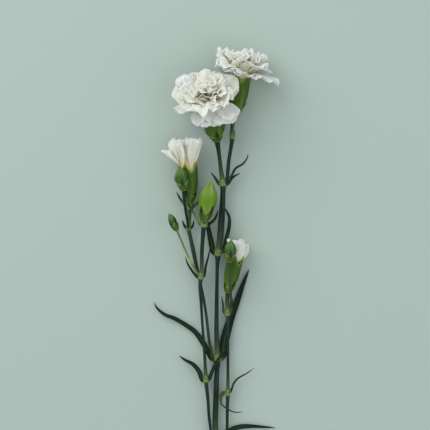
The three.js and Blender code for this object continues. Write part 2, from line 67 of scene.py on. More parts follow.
# x, y, z and radius in mm, from the lower end up
STALKS = {
    "stem_main": [
        (0.5, 0, 2.4, 2.3), (0.3, 30, 2.7, 2.3), (0.8, 55, 3.2, 2.3), (0.4, 85, 3.6, 2.25),
        (-0.2, 107.5, 4.0, 2.3), (-1.3, 117, 4.2, 2.2), (-0.8, 137.5, 4.6, 2.1), (-0.2, 156, 5.0, 1.9),
        (0.6, 168, 5.3, 2.0), (-0.1, 180, 5.7, 1.85), (-0.4, 191.5, 6.0, 1.75), (-0.2, 212.5, 6.7, 1.5),
        (0.2, 236.5, 7.5, 1.35), (0.8, 247, 7.9, 2.1), (2.5, 260.5, 8.4, 2.5), (3.6, 276, 9.0, 2.4),
        (4.4, 291, 9.6, 2.0), (4.5, 299.5, 9.9, 2.1), (3.1, 309, 10.3, 1.6), (1.4, 323, 11.2, 1.5),
        (0.2, 331.0, 12.1, 2.1)],
    "branch_left": [
        (-1.4, 106.0, 4.4, 0.8), (-4.0, 110.5, 5.7, 0.9), (-5.0, 117, 5.9, 1.1),
        (-6.1, 126, 6.1, 1.15), (-6.8, 137.5, 6.4, 1.2),
        (-8.3, 152, 6.8, 1.5), (-9.1, 167.5, 7.6, 1.15), (-10.1, 182.5, 8.6, 1.0),
        (-11.2, 197.5, 9.6, 1.0),
        (-12.0, 212.5, 10.5, 1.2), (-12.6, 221.5, 11.0, 1.4), (-12.1, 229.5, 11.5, 1.5),
        (-11.4, 238, 12.0, 1.5), (-11.3, 248, 12.6, 1.5), (-10.8, 257.5, 13.2, 1.5),
        (-9.6, 270.8, 14.1, 2.0)],
    "branch_middle": [
        (-1.0, 164.5, 5.3, 0.8), (-3.4, 168.5, 5.4, 0.9), (-4.6, 175, 5.3, 1.05),
        (-6.0, 182.5, 5.0, 1.05), (-7.7, 197.5, 4.7, 1.1),
        (-9.9, 212.5, 4.6, 1.1), (-12.1, 223, 4.8, 1.15), (-14.4, 232.8, 5.2, 1.3),
        (-18.0, 250, 6.0, 1.6),
        (-19.9, 259, 6.4, 1.4), (-21.4, 266.5, 6.7, 1.4), (-20.4, 274, 7.2, 1.2),
        (-20.6, 281, 7.9, 1.5),
        (-20.1, 286.0, 8.6, 1.9)],
    "branch_right": [
        (1.4, 53.0, 3.2, 0.8), (4.2, 57.0, 3.8, 0.9), (5.4, 85, 4.2, 1.0), (7.0, 104, 4.8, 1.1),
        (7.6, 115, 5.1, 1.15),
        (7.8, 131, 5.5, 1.2), (8.2, 141.8, 5.8, 1.4), (8.2, 163.8, 6.5, 1.1), (8.2, 191.5, 7.5, 1.0),
        (7.7, 202, 7.9, 1.4), (7.5, 210, 8.2, 1.5), (8.1, 217.6, 8.6, 1.9)],
    "pedicel_second_flower": [
        (4.8, 297.4, 9.9, 1.2), (7.2, 301.4, 10.9, 1.35), (8.2, 310, 10.6, 1.4),
        (8.9, 317.5, 10.2, 1.4), (10.2, 325, 9.9, 1.4),
        (11.5, 334.8, 9.8, 1.6), (11.6, 344, 10.5, 1.5), (14.3, 352.4, 11.7, 1.9)],
    "pedicel_side_bud": [
        (-21.4, 265.0, 6.6, 0.8), (-21.8, 268, 9.4, 0.9), (-22.3, 273, 12.2, 1.0),
        (-23.2, 278.5, 15.0, 1.1), (-24.2, 286, 18.4, 1.1),
        (-24.9, 294.2, 21.1, 1.4)],
    "pedicel_tiny_bud": [
        (-12.3, 229.0, 11.6, 0.8), (-14.2, 231.8, 12.3, 0.8), (-19.4, 240.6, 13.3, 0.8),
        (-24.4, 251.5, 13.9, 0.75),
        (-27.4, 258.7, 14.2, 0.75), (-29.9, 264.7, 14.6, 0.9)],
    "pedicel_front_bud": [
        (7.7, 202.4, 8.0, 0.7), (9.2, 207.0, 8.4, 0.8), (10.4, 212.0, 10.2, 0.85),
        (10.5, 215.4, 13.0, 0.85), (10.2, 220.5, 17.0, 0.9), (9.4, 229, 19.6, 1.0),
        (9.0, 241.0, 22.3, 1.3)],
}
# y of each swollen joint on a stalk, mm
JOINTS = {
    "stem_main": (55, 107.5, 168, 247, 299.5),
    "branch_left": (152, 229.5),
    "branch_middle": (266.5, 281.5),
    "branch_right": (141.8, 202),
    "pedicel_second_flower": (334.8,),
    "pedicel_side_bud": (),
    "pedicel_tiny_bud": (240.6,),
    "pedicel_front_bud": (),
}
# a joint's extra thickness as a share of the radius, and how far it reaches up and down, mm
JOINT_SWELL = 0.24
JOINT_REACH = 2.6
# the pale band over a joint: how pale, how far above the joint, its reach in mm
BAND_TONE, BAND_RISE, BAND_REACH = 0.75, 1.4, 2.2
# fresh green above a joint and wax below it: how strong, and how soon each fades, mm
FRESH_TONE, FRESH_FADE = 0.4, 7
WAX_SHARE, WAX_FADE = 0.4, 8
# how much lighter than the main stem a young stalk is
YOUNG = {"pedicel_tiny_bud": 0.4, "branch_middle": 0.06, "pedicel_front_bud": 0.1}
STALK_STEP = 1.3
STALK_SIDES = 18
# the cut face, from its pith out: y in mm, share of the stem's radius, tone
CUT_FACE = [(0.0, 0.06, 1.0), (0.008, 0.4, 0.95), (0.016, 0.72, 0.45), (0.024, 0.9, 0.8),
(0.04, 0.99, 0.3)]
CUT_FACE_DEPTH = 0.2


def in_frame(p):
    """A place on the plant, in mm from its cut end, as a place in the frame, in metres."""
    return (Vector(p[:3]) - PLANT_MIDDLE) * MM


def along_path(points, t):
    """The smooth path through points, at t from 0 to 1 of its control spans."""
    spans = len(points) - 1
    k = min(int(t * spans), spans - 1)
    f = t * spans - k
    a, b = np.array(points[k], float), np.array(points[k + 1], float)
    before = np.array(points[k - 1], float) if k else 2 * a - b
    after = np.array(points[k + 2], float) if k + 2 <= spans else 2 * b - a
    return 0.5 * (2 * a + (b - before) * f + (2 * before - 5 * a + 4 * b - after) * f ** 2
                  + (3 * a - before - 3 * b + after) * f ** 3)


def stalk_at(name, y):
    """Centre, direction and radius of a stalk at the height y, all in mm."""
    path = STALKS[name]
    k = max(i for i in range(len(path) - 1) if path[i][1] <= y or i == 0)

    def value(at, axis):
        lo, hi = path[k], path[k + 1]
        before = path[max(0, k - 1)]
        after = path[min(len(path) - 1, k + 2)]
        step = hi[1] - lo[1]
        f = (at - lo[1]) / step
        slope_lo = (hi[axis] - before[axis]) / (hi[1] - before[1]) * step
        slope_hi = (after[axis] - lo[axis]) / (after[1] - lo[1]) * step
        return ((2 * f ** 3 - 3 * f ** 2 + 1) * lo[axis] + (f ** 3 - 2 * f ** 2 + f) * slope_lo
                + (3 * f ** 2 - 2 * f ** 3) * hi[axis] + (f ** 3 - f ** 2) * slope_hi)

    centre = Vector((value(y, 0), y, value(y, 2)))
    ahead = Vector((value(y + 0.2, 0), y + 0.2, value(y + 0.2, 2)))
    return centre, (ahead - centre).normalized(), value(y, 3)


def sockets(tree, inputs, outputs):
    """A node group's named inputs (kind, name and maybe a value) and outputs (kind, name)."""
    for kind, name, *default in inputs:
        made = tree.interface.new_socket(name=name, in_out="INPUT", socket_type="NodeSocket" + kind)
        if default:
            made.default_value = default[0]
    for kind, name in outputs:
        tree.interface.new_socket(name=name, in_out="OUTPUT", socket_type="NodeSocket" + kind)


def wire(tree, kind, inputs=(), **settings):
    """One node with its settings and its inputs, each input a value or another node's output."""
    node = tree.nodes.new(kind)
    for key, value in settings.items():
        setattr(node, key, value)
    for key, value in dict(inputs).items():
        if isinstance(value, bpy.types.NodeSocket):
            tree.links.new(value, node.inputs[key])
        else:
            node.inputs[key].default_value = value
    return node


def maths(tree, operation, a, b=0.0, clamp=False):
    return wire(tree, "ShaderNodeMath", {0: a, 1: b}, operation=operation, use_clamp=clamp).outputs[0]


def blend_colours(tree, share, a, b):
    node = wire(tree, "ShaderNodeMix", {0: share, 6: a, 7: b}, data_type="RGBA")
    return node.outputs[2]


def stalk_tree():
    """Geometry nodes: a round skin along a path whose own attributes give its thickness."""
    tree = bpy.data.node_groups.new("stalk_along_path", "GeometryNodeTree")
    sockets(tree, [("Geometry", "Path"), ("Int", "Sides", 16),
    ("Material", "Skin")], [("Geometry", "Stalk")])
    given = tree.nodes.new("NodeGroupInput")
    curve = wire(tree, "GeometryNodeMeshToCurve", {"Mesh": given.outputs["Path"]})
    thick = wire(tree, "GeometryNodeInputNamedAttribute", {"Name": "thick"}, data_type="FLOAT")
    ring = wire(tree, "GeometryNodeCurvePrimitiveCircle", {
        "Resolution": given.outputs["Sides"], "Radius": 1.0}, mode="RADIUS")
    place = tree.nodes.new("GeometryNodeInputPosition")
    ring = wire(tree, "GeometryNodeStoreNamedAttribute", {
        "Geometry": ring.outputs["Curve"], "Name": "around", "Value": place.outputs["Position"]},
        data_type="FLOAT_VECTOR", domain="POINT")
    skin = wire(tree, "GeometryNodeCurveToMesh", {
        "Curve": curve.outputs["Curve"], "Profile Curve": ring.outputs["Geometry"],
        "Scale": thick.outputs["Attribute"], "Fill Caps": True})
    around = wire(tree, "GeometryNodeInputNamedAttribute", {"Name": "around"}, data_type="FLOAT_VECTOR")
    along = wire(tree, "GeometryNodeInputNamedAttribute", {"Name": "along"}, data_type="FLOAT")
    rise = wire(tree, "ShaderNodeCombineXYZ", {"Z": along.outputs["Attribute"]})
    grain = wire(tree, "ShaderNodeVectorMath", {
        0: around.outputs["Attribute"], 1: rise.outputs["Vector"]}, operation="ADD")
    skin = wire(tree, "GeometryNodeStoreNamedAttribute", {
        "Geometry": skin.outputs["Mesh"], "Name": "grain", "Value": grain.outputs["Vector"]},
        data_type="FLOAT_VECTOR", domain="POINT")
    whole = wire(tree, "GeometryNodeRealizeInstances", {"Geometry": skin.outputs["Geometry"]})
    smooth = wire(tree, "GeometryNodeSetShadeSmooth", {"Geometry": whole.outputs["Geometry"]})
    done = wire(tree, "GeometryNodeSetMaterial", {
        "Geometry": smooth.outputs["Geometry"], "Material": given.outputs["Skin"]})
    wire(tree, "NodeGroupOutput", {"Stalk": done.outputs["Geometry"]})
    return tree


def grow(piece, tree, **values):
    """Runs a geometry node tree on a piece and leaves the plain mesh it makes."""
    modifier = piece.modifiers.new("grow", "NODES")
    modifier.node_group = tree
    names = {item.name: item.identifier for item in tree.interface.items_tree if item.in_out == "INPUT"}
    for name, value in values.items():
        modifier[names[name]] = value
    deps = bpy.context.evaluated_depsgraph_get()
    made = bpy.data.meshes.new_from_object(piece.evaluated_get(deps))
    piece.modifiers.remove(modifier)
    piece.data = made
    return piece


def show(name, mesh):
    piece = bpy.data.objects.new(name, mesh)
    bpy.context.scene.collection.objects.link(piece)
    return piece


def streak_group():
    """Fine streaks that run along a stem, leaf or calyx, with a slower change of colour."""
    tree = bpy.data.node_groups.new("growth_streaks", "ShaderNodeTree")
    sockets(tree, [("Vector", "Grain"), ("Float", "Across", 5.0), ("Float", "Along", 0.06),
                   ("Float", "Patch", 0.08)],
            [("Float", "Streak"), ("Float", "Patches"), ("Float", "Flecks")])
    given = tree.nodes.new("NodeGroupInput")
    parts = wire(tree, "ShaderNodeSeparateXYZ", {0: given.outputs["Grain"]}).outputs

    def stretched(across, along):
        return wire(tree, "ShaderNodeCombineXYZ", {
            0: maths(tree, "MULTIPLY", parts[0], across), 1: maths(tree, "MULTIPLY", parts[1], across),
            2: maths(tree, "MULTIPLY", parts[2], along)}).outputs[0]

    fine = wire(tree, "ShaderNodeTexNoise", {
        "Vector": stretched(given.outputs["Across"], given.outputs["Along"]),
        "Scale": 1.0, "Detail": 4.0, "Roughness": 0.6})
    broad = wire(tree, "ShaderNodeTexNoise", {
        "Vector": stretched(0.7, given.outputs["Patch"]), "Scale": 1.0, "Detail": 3.0})
    small = wire(tree, "ShaderNodeTexNoise", {"Vector": stretched(5.0, 1.1), "Scale": 1.0, "Detail": 2.0})
    flecks = wire(tree, "ShaderNodeMapRange", {0: small.outputs["Fac"], 1: 0.56, 2: 0.7})
    streak = wire(tree, "ShaderNodeMapRange", {0: fine.outputs["Fac"], 1: 0.34, 2: 0.66})
    patches = wire(tree, "ShaderNodeMapRange", {0: broad.outputs["Fac"], 1: 0.38, 2: 0.64})
    wire(tree, "NodeGroupOutput", {
        "Streak": streak.outputs[0], "Patches": patches.outputs[0], "Flecks": flecks.outputs[0]})
    return tree


GROWTH_STREAKS = streak_group()


def green_tissue(name, deep, light, bloom, pale, across=5.0, along=0.06, bloom_share=0.45,
                 rough=0.42, ribs=0.25, gloss=0.4):
    """Waxy green plant skin: streaked green with a bluish bloom in patches.

    The tone attribute turns it pale where it is above zero and nearly black where it is below.
    """
    skin = bpy.data.materials.new(name)
    skin.use_nodes = True
    tree = skin.node_tree
    surface = tree.nodes["Principled BSDF"]
    grain = wire(tree, "ShaderNodeAttribute", attribute_name="grain")
    tone = wire(tree, "ShaderNodeAttribute", attribute_name="tone").outputs["Fac"]
    streaks = wire(tree, "ShaderNodeGroup", node_tree=GROWTH_STREAKS)
    tree.links.new(grain.outputs["Vector"], streaks.inputs["Grain"])
    streaks.inputs["Across"].default_value = across
    streaks.inputs["Along"].default_value = along
    green = blend_colours(tree, streaks.outputs["Streak"], (*deep, 1), (*light, 1))
    wax = wire(tree, "ShaderNodeAttribute", attribute_name="wax").outputs["Fac"]
    patchy = maths(tree, "MAXIMUM", streaks.outputs["Patches"], streaks.outputs["Flecks"])
    waxed = maths(tree, "ADD", maths(tree, "MULTIPLY", patchy, bloom_share), wax, clamp=True)
    green = blend_colours(tree, waxed, green, (*bloom, 1))
    green = blend_colours(tree, maths(tree, "MAXIMUM", tone, 0.0), green, (*pale, 1))
    green = blend_colours(tree, maths(tree, "MAXIMUM", maths(tree, "MULTIPLY", tone, -1.0), 0.0),
                          green, (0.006, 0.014, 0.004, 1))
    tree.links.new(green, surface.inputs["Base Color"])
    dull = maths(tree, "ADD", maths(tree, "MULTIPLY", waxed, 0.5), rough)
    tree.links.new(dull, surface.inputs["Roughness"])
    bump = wire(tree, "ShaderNodeBump", {
        "Strength": ribs, "Distance": 0.0004, "Height": streaks.outputs["Streak"]})
    tree.links.new(bump.outputs["Normal"], surface.inputs["Normal"])
    surface.inputs["Specular IOR Level"].default_value = gloss
    return skin


STEM_SKIN = green_tissue("stem_skin", (0.001, 0.006, 0.003), (0.007, 0.026, 0.011), (0.028, 0.066, 0.066),
                         (0.30, 0.42, 0.13), across=2.2, along=0.05, bloom_share=0.3, rough=0.24, gloss=0.16)
STALK_TREE = stalk_tree()

for stalk, path in STALKS.items():
    foot, tip = path[0][1], path[-1][1]
    count = int((tip - foot) / STALK_STEP) + 2
    ys = np.linspace(foot, tip, count)
    if stalk == "stem_main":
        ys = np.concatenate([[y for y, _, _ in CUT_FACE], [CUT_FACE_DEPTH], ys[1:]])
    places, thick, tone, wax = [], [], [], []
    for y in ys:
        centre, _, radius = stalk_at(stalk, float(y))
        near = max([math.exp(-((y - j) / JOINT_REACH) ** 2) for j in JOINTS[stalk]] or [0.0])
        pale = max([BAND_TONE * math.exp(-((y - j - BAND_RISE) / BAND_REACH) ** 2)
                    for j in JOINTS[stalk]] or [0.0])
        fresh = max([FRESH_TONE * math.exp((j - y) / FRESH_FADE) for j in JOINTS[stalk] if y > j] or [0.0])
        bloom = max([WAX_SHARE * math.exp((y - j) / WAX_FADE) for j in JOINTS[stalk] if y < j] or [0.0])
        places.append(in_frame(centre))
        thick.append(radius * (1 + JOINT_SWELL * near) * MM)
        if stalk == "stem_main" and len(tone) < len(CUT_FACE):
            _, share, pale = CUT_FACE[len(tone)]
            thick[-1] *= share
        tone.append(min(1.0, max(pale, fresh) + YOUNG.get(stalk, 0.0)))
        wax.append(bloom * (1 - near))
    mesh = bpy.data.meshes.new(stalk)
    mesh.from_pydata([tuple(p) for p in places], [(i, i + 1) for i in range(len(ys) - 1)], [])
    for name, values in (("thick", thick), ("tone", tone), ("wax", wax), ("along", list(ys))):
        mesh.attributes.new(name, "FLOAT", "POINT").data.foreach_set("value", values)
    piece = grow(show("skin_" + stalk, mesh), STALK_TREE, Sides=STALK_SIDES, Skin=STEM_SKIN)
    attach(piece, "root")
    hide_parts(stalk)


# ---- Leaves ----
# Narrow blue-green leaves in opposite pairs, keeled along the midrib and drawn out to a point.
# The feet of a pair are grown together into a pale sheath that clasps the swollen joint.

# name: (stalk and joint it clasps, half width in mm, fold, spine from the sheath to the tip in mm)
LEAVES = {
    "leaf_low_left": ("stem_main", 55, 2.4, 0.45, [
        (-1.0, 53.6, 2.8), (-3.1, 54.6, 2.4), (-6.5, 57.5, 1.8), (-11, 65, 1.6), (-14, 76, 2.0),
        (-15, 87, 2.2),
        (-13.8, 97, 1.2)]),
    "leaf_low_right": ("stem_main", 55, 2.4, 0.45, [
        (2.4, 52.6, 2.8), (4.7, 52.8, 2.4), (8.5, 55.5, 1.8), (14, 62, 1.6), (18.5, 72, 2.2),
        (21, 84, 2.4),
        (21.4, 95, 1.2)]),
    "leaf_second_left": ("stem_main", 107.5, 2.0, 0.4, [
        (-1.6, 107.0, 3.0), (-4.2, 107.2, 2.6), (-8, 105.5, 2.2), (-15, 103.6, 1.8), (-24, 103, 2.0),
        (-32, 100.5, 2.2), (-38, 96, 1.2)]),
    "leaf_second_right": ("stem_main", 107.5, 2.0, 0.4, [
        (1.2, 107.4, 3.0), (4.0, 109.2, 2.4), (10.5, 114, 1.8), (17.2, 116.6, 1.8), (25, 117.1, 2.2),
        (34, 116.6, 2.4), (43.9, 115.9, 1.2)]),
    "leaf_third_left": ("stem_main", 168, 2.0, 0.35, [
        (-1.2, 166.4, 3.6), (-4.1, 168.4, 2.6), (-7.5, 174.6, 2.0), (-11.7, 181.8, 2.0),
        (-17.8, 189.4, 2.4),
        (-30.8, 197.8, 3.6), (-38.5, 200.9, 3.8), (-44.6, 205.5, 3.2), (-47.6, 210.4, 2.2)]),
    "leaf_third_right": ("stem_main", 168, 3.6, 0.25, [
        (1.8, 167.2, 4.2), (3.9, 171.2, 3.4), (5.2, 178.8, 3.0), (7.2, 187.8, 2.8), (10.5, 199, 2.6),
        (15, 211, 2.4), (19.5, 223.8, 2.0), (24.4, 235.4, 0.8)]),
    "leaf_branch_left_outer": ("branch_left", 152, 1.8, 0.4, [
        (-9.4, 151.2, 6.4), (-11.2, 153.0, 6.4), (-13.6, 158.8, 6.0), (-17.8, 163.8, 5.6),
        (-24, 167.2, 5.0),
        (-28.5, 170.3, 4.2)]),
    "leaf_branch_left_inner": ("branch_left", 152, 1.4, 0.4, [
        (-7.2, 151.4, 7.2), (-5.3, 154.4, 7.8), (-2.2, 162.4, 8.6), (2.4, 170.2, 9.4),
        (6.3, 176, 9.6)]),
    "leaf_curled": ("branch_right", 141.8, 1.6, 0.5, [
        (7.0, 141.8, 6.6), (5.3, 142.6, 7.2), (3.6, 141.2, 7.8), (2.8, 137.9, 8.2), (3.6, 134, 8.6),
        (7.5, 131, 8.6), (11.8, 128.6, 8.0), (15.8, 128.0, 7.2), (19.8, 128.3, 6.4)]),
    "leaf_branch_right_outer": ("branch_right", 141.8, 0.7, 0.5, [
        (9.2, 141.4, 6.0), (10.8, 144.6, 6.0), (12.6, 149.6, 5.6), (16.1, 153.6, 5.2),
        (22.4, 157.1, 4.6),
        (28.1, 161.1, 3.8)]),
    "leaf_fourth_left": ("stem_main", 247, 2.2, 0.35, [
        (-0.4, 246.2, 7.2), (-3.0, 249.6, 6.9), (-4.6, 256.8, 6.2), (-6, 264.2, 5.6), (-7.5, 271, 5.0),
        (-8.6, 277, 4.6)]),
    "leaf_fourth_right": ("stem_main", 247, 1.5, 0.45, [
        (2.2, 246.2, 8.0), (5.0, 250.8, 8.4), (7.3, 259.8, 9.6), (9.0, 267.2, 11.0), (9.2, 274, 12.4),
        (7.2, 278.9, 13.2), (4.8, 282, 13.4)]),
    "leaf_top_long": ("pedicel_second_flower", 303.5, 0.8, 0.5, [
        (8.6, 303.0, 10.8), (10.9, 305.6, 10.8), (14, 311.2, 11.0), (19.4, 314.6, 10.6),
        (22.4, 318.7, 9.8),
        (23.4, 322.4, 9.0)]),
    "leaf_under_green_bud": ("branch_left", 268.5, 1.0, 0.45, [
        (-11.2, 268.8, 13.0), (-13.5, 271.4, 12.6), (-16.6, 276.5, 11.8), (-20.6, 283, 12.6),
        (-23.4, 287.5, 14.2)]),
}
# name: (stalk and joint, half width, fold, left spine, right spine)
LEAF_PAIRS = {
    "leaf_pair_branch_right": ("branch_right", 202, 0.95, 0.5, [
        (6.2, 201.4, 7.2), (4.7, 204.6, 7.6), (4.6, 208.5, 8.2), (3.4, 215.5, 8.6)], [
        (9.2, 201.4, 7.2), (10.6, 204.6, 7.6), (10.9, 208.5, 8.2), (11.8, 213.5, 8.6)]),
    "leaf_pair_branch_left": ("branch_left", 229.5, 0.95, 0.5, [
        (-13.4, 228.4, 10.4), (-15.4, 230.4, 10.2), (-18.6, 234.3, 10.8), (-21.8, 239.5, 11.8),
        (-23.9, 245.3, 13.0)], [
        (-11.0, 228.8, 10.6), (-9.4, 231.6, 10.4), (-8.4, 238, 11.2), (-6.4, 245.5, 12.0),
        (-4.8, 253, 12.4)]),
    "leaf_pair_top": ("stem_main", 299.5, 1.15, 0.45, [
        (3.2, 298.2, 8.6), (0.8, 300.6, 8.4), (-1.2, 303.8, 8.8), (-4.7, 308.4, 9.4)], [
        (6.2, 298.2, 8.6), (8.8, 300.6, 8.2), (12, 304.6, 8.6), (17.4, 307.8, 9.4)]),
    "leaf_pair_green_bud": ("branch_left", 268.5, 1.05, 0.5, [
        (-11.0, 267.8, 12.2), (-13.0, 270.2, 11.0), (-15.0, 273.6, 9.8), (-17.5, 277.2, 9.4)], [
        (-8.2, 267.8, 12.4), (-5.8, 269.6, 11.2), (-2.2, 272.6, 10.8), (-0.2, 276.5, 11.2),
        (0.8, 280, 11.8)]),
    "leaf_pair_half_open": ("branch_middle", 281.5, 1.15, 0.45, [
        (-21.6, 281.0, 7.0), (-23.8, 283.4, 6.8), (-27.4, 288.2, 7.4), (-30.6, 293.7, 8.4)], [
        (-19.4, 281.0, 7.0), (-17.2, 283.2, 6.8), (-13.4, 286.6, 8.0), (-11.6, 290.8, 9.0)]),
    "leaf_pair_side_bud": ("branch_middle", 266.5, 0.85, 0.5, [
        (-22.6, 265.6, 5.8), (-24.6, 268.4, 6.2), (-26.2, 272.5, 7.6)], [
        (-20.2, 265.6, 5.8), (-18.2, 268.2, 6.2), (-17.4, 272.5, 7.8)]),
}
# young leaves that are still light green towards the foot, and how much
LIGHT_LEAVES = {"leaf_under_green_bud": 0.55, "leaf_pair_half_open": 0.4, "leaf_curled": 0.15,
                "leaf_pair_branch_right": 0.15, "leaf_pair_top": 0.1}
LEAF_THICKNESS = 0.5
# what comes within this height of the floor, in mm, bends softly onto it
FLOOR_REACH = 1.6
SHEATH_SIDES = 28
LEAF_SKIN = green_tissue("leaf_skin", (0.001, 0.006, 0.002), (0.006, 0.021, 0.007), (0.018, 0.042, 0.036),
                         (0.27, 0.38, 0.12), across=7.0, along=0.05, bloom_share=0.24, rough=0.4, ribs=0.4,
                         gloss=0.16)


class Skin:
    """Collects the bodies of one piece: their points, faces, pattern places and tone."""

    def __init__(self):
        self.points, self.faces, self.grain, self.tone = [], [], [], []

    def sheet(self, middle, normal, half_thick, grain, tone):
        """A thin closed body around a grid of points: two skins and the edge that joins them."""
        rows, columns = middle.shape[:2]
        start = len(self.points)
        for face in (1, -1):
            self.points += (middle + normal * (face * half_thick)[..., None]).reshape(-1, 3).tolist()
            self.grain += grain.reshape(-1, 3).tolist()
            self.tone += tone.reshape(-1).tolist()

        def at(side, i, j):
            return start + side * rows * columns + i * columns + j

        for i in range(rows - 1):
            for j in range(columns - 1):
                self.faces.append((at(0, i, j), at(0, i + 1, j), at(0, i + 1, j + 1), at(0, i, j + 1)))
                self.faces.append((at(1, i, j), at(1, i, j + 1), at(1, i + 1, j + 1), at(1, i + 1, j)))
            for j, flip in ((0, False), (columns - 1, True)):
                rim = (at(0, i, j), at(1, i, j), at(1, i + 1, j), at(0, i + 1, j))
                self.faces.append(rim[::-1] if flip else rim)
        for j in range(columns - 1):
            for i, flip in ((0, True), (rows - 1, False)):
                rim = (at(0, i, j), at(1, i, j), at(1, i, j + 1), at(0, i, j + 1))
                self.faces.append(rim[::-1] if flip else rim)

    def tube(self, rings, grain, tone, shut=True):
        """A closed body of equal rings: fans shut its ends, or its last ring runs back to its first."""
        rings = np.asarray(rings)
        rows, sides = rings.shape[:2]
        start = len(self.points)
        self.points += rings.reshape(-1, 3).tolist()
        self.grain += np.asarray(grain).reshape(-1, 3).tolist()
        self.tone += np.asarray(tone).reshape(-1).tolist()
        for i in range(rows - 1 if shut else rows):
            for j in range(sides):
                k = (j + 1) % sides
                below, above = start + i * sides, start + (i + 1) % rows * sides
                self.faces.append((below + j, below + k, above + k, above + j))
        if shut:
            for i, flip in ((0, True), (rows - 1, False)):
                self.points.append(rings[i].mean(axis=0).tolist())
                self.grain.append(np.asarray(grain)[i].mean(axis=0).tolist())
                self.tone.append(float(np.asarray(tone)[i].mean()))
                hub = len(self.points) - 1
                for j in range(sides):
                    a, b = start + i * sides + j, start + i * sides + (j + 1) % sides
                    self.faces.append((hub, b, a) if flip else (hub, a, b))

    def mesh(self, name, material):
        mesh = bpy.data.meshes.new(name)
        mesh.from_pydata(self.points, [], self.faces)
        mesh.attributes.new("grain", "FLOAT_VECTOR", "POINT").data.foreach_set(
            "vector", np.asarray(self.grain, float).ravel())
        mesh.attributes.new("tone", "FLOAT", "POINT").data.foreach_set("value", self.tone)
        mesh.materials.append(material)
        mesh.shade_smooth()
        return mesh

    def piece(self, name, material, nodes, slot):
        """Finishes the piece: mm on the plant become metres in the frame, faces turned outwards."""
        self.points = laid_down(np.asarray(self.points)).tolist()
        made = show(name, outward(self.mesh(name, material)))
        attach(made, "root")
        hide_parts(*nodes)
        return made


def laid_down(points):
    """Points in mm on the plant as metres in the frame; what would go below the floor rests on it."""
    points = points - np.array(PLANT_MIDDLE)
    low = np.minimum(points[:, 2], FLOOR_REACH)
    points[:, 2] += FLOOR_REACH * np.exp((low - FLOOR_REACH) / FLOOR_REACH) - low
    return points * MM


def outward(mesh):
    """Turns every closed body in the mesh so that its faces point outwards."""
    work = bmesh.new()
    work.from_mesh(mesh)
    bmesh.ops.recalc_face_normals(work, faces=work.faces)
    work.to_mesh(mesh)
    work.free()
    return mesh


def smooth_step(x):
    x = np.clip(x, 0, 1)
    return x * x * (3 - 2 * x)


def grid_normals(grid):
    along = np.gradient(grid, axis=0)
    across = np.gradient(grid, axis=1)
    normal = np.cross(across, along)
    return normal / np.maximum(np.linalg.norm(normal, axis=2, keepdims=True), 1e-9)


def add_leaf(skin, spine, half_width, fold, seed, tail=0.0, young=0.0):
    """One leaf blade: keeled, a little waved along its edges, thinning to its point."""
    chance = random.Random(seed)
    rows, columns = 8 * len(spine) + 1, 9
    s = np.linspace(0, 1, rows)
    centre = np.array([along_path(spine, v) for v in s])
    ahead = np.gradient(centre, axis=0)
    ahead /= np.linalg.norm(ahead, axis=1, keepdims=True)
    side = np.cross(np.array([0, 0, 1.0]), ahead)
    side /= np.linalg.norm(side, axis=1, keepdims=True)
    up = np.cross(ahead, side)
    width = half_width * (0.72 + 0.28 * smooth_step(s / 0.2)) * np.clip(1 - s ** 2.4, 0, 1) ** 0.75
    width = width * (1 - tail * smooth_step((s - 0.2) / 0.3)) + 0.07
    t = np.linspace(-1, 1, columns)
    foot_fold = 0.6 * (1 - smooth_step(s / 0.16))
    rise = (fold + foot_fold)[:, None] * np.abs(t)[None, :] ** 1.35 * width[:, None]
    wave = 0.12 * half_width * np.sin(s * 17 + chance.uniform(0, 6))[:, None] * t[None, :] ** 2 * np.sign(t)
    grid = (centre[:, None, :] + side[:, None, :] * (width[:, None] * t)[..., None]
            + up[:, None, :] * (rise + wave)[..., None])
    thick = (LEAF_THICKNESS / 2 * (1 - 0.72 * np.abs(t) ** 1.5)[None, :]
             * (0.35 + 0.65 * (1 - s ** 3))[:, None])
    length = np.linalg.norm(np.diff(centre, axis=0), axis=1).sum()
    grain = np.stack(np.broadcast_arrays(t[None, :] * half_width * 0.5, chance.uniform(0, 20),
                                         s[:, None] * length + chance.uniform(0, 90)), axis=2)
    rib = 0.22 * np.exp(-(t / 0.1) ** 2)
    tone = 0.6 * (1 - smooth_step(s / 0.13)) + 0.35 * smooth_step((s - 0.95) / 0.05)
    tone = tone + young * (1 - smooth_step((s - 0.35) / 0.5))
    tone = np.clip(tone[:, None] + rib[None, :] * (1 - s)[:, None], 0, 1)
    skin.sheet(grid, grid_normals(grid), thick, grain, tone)


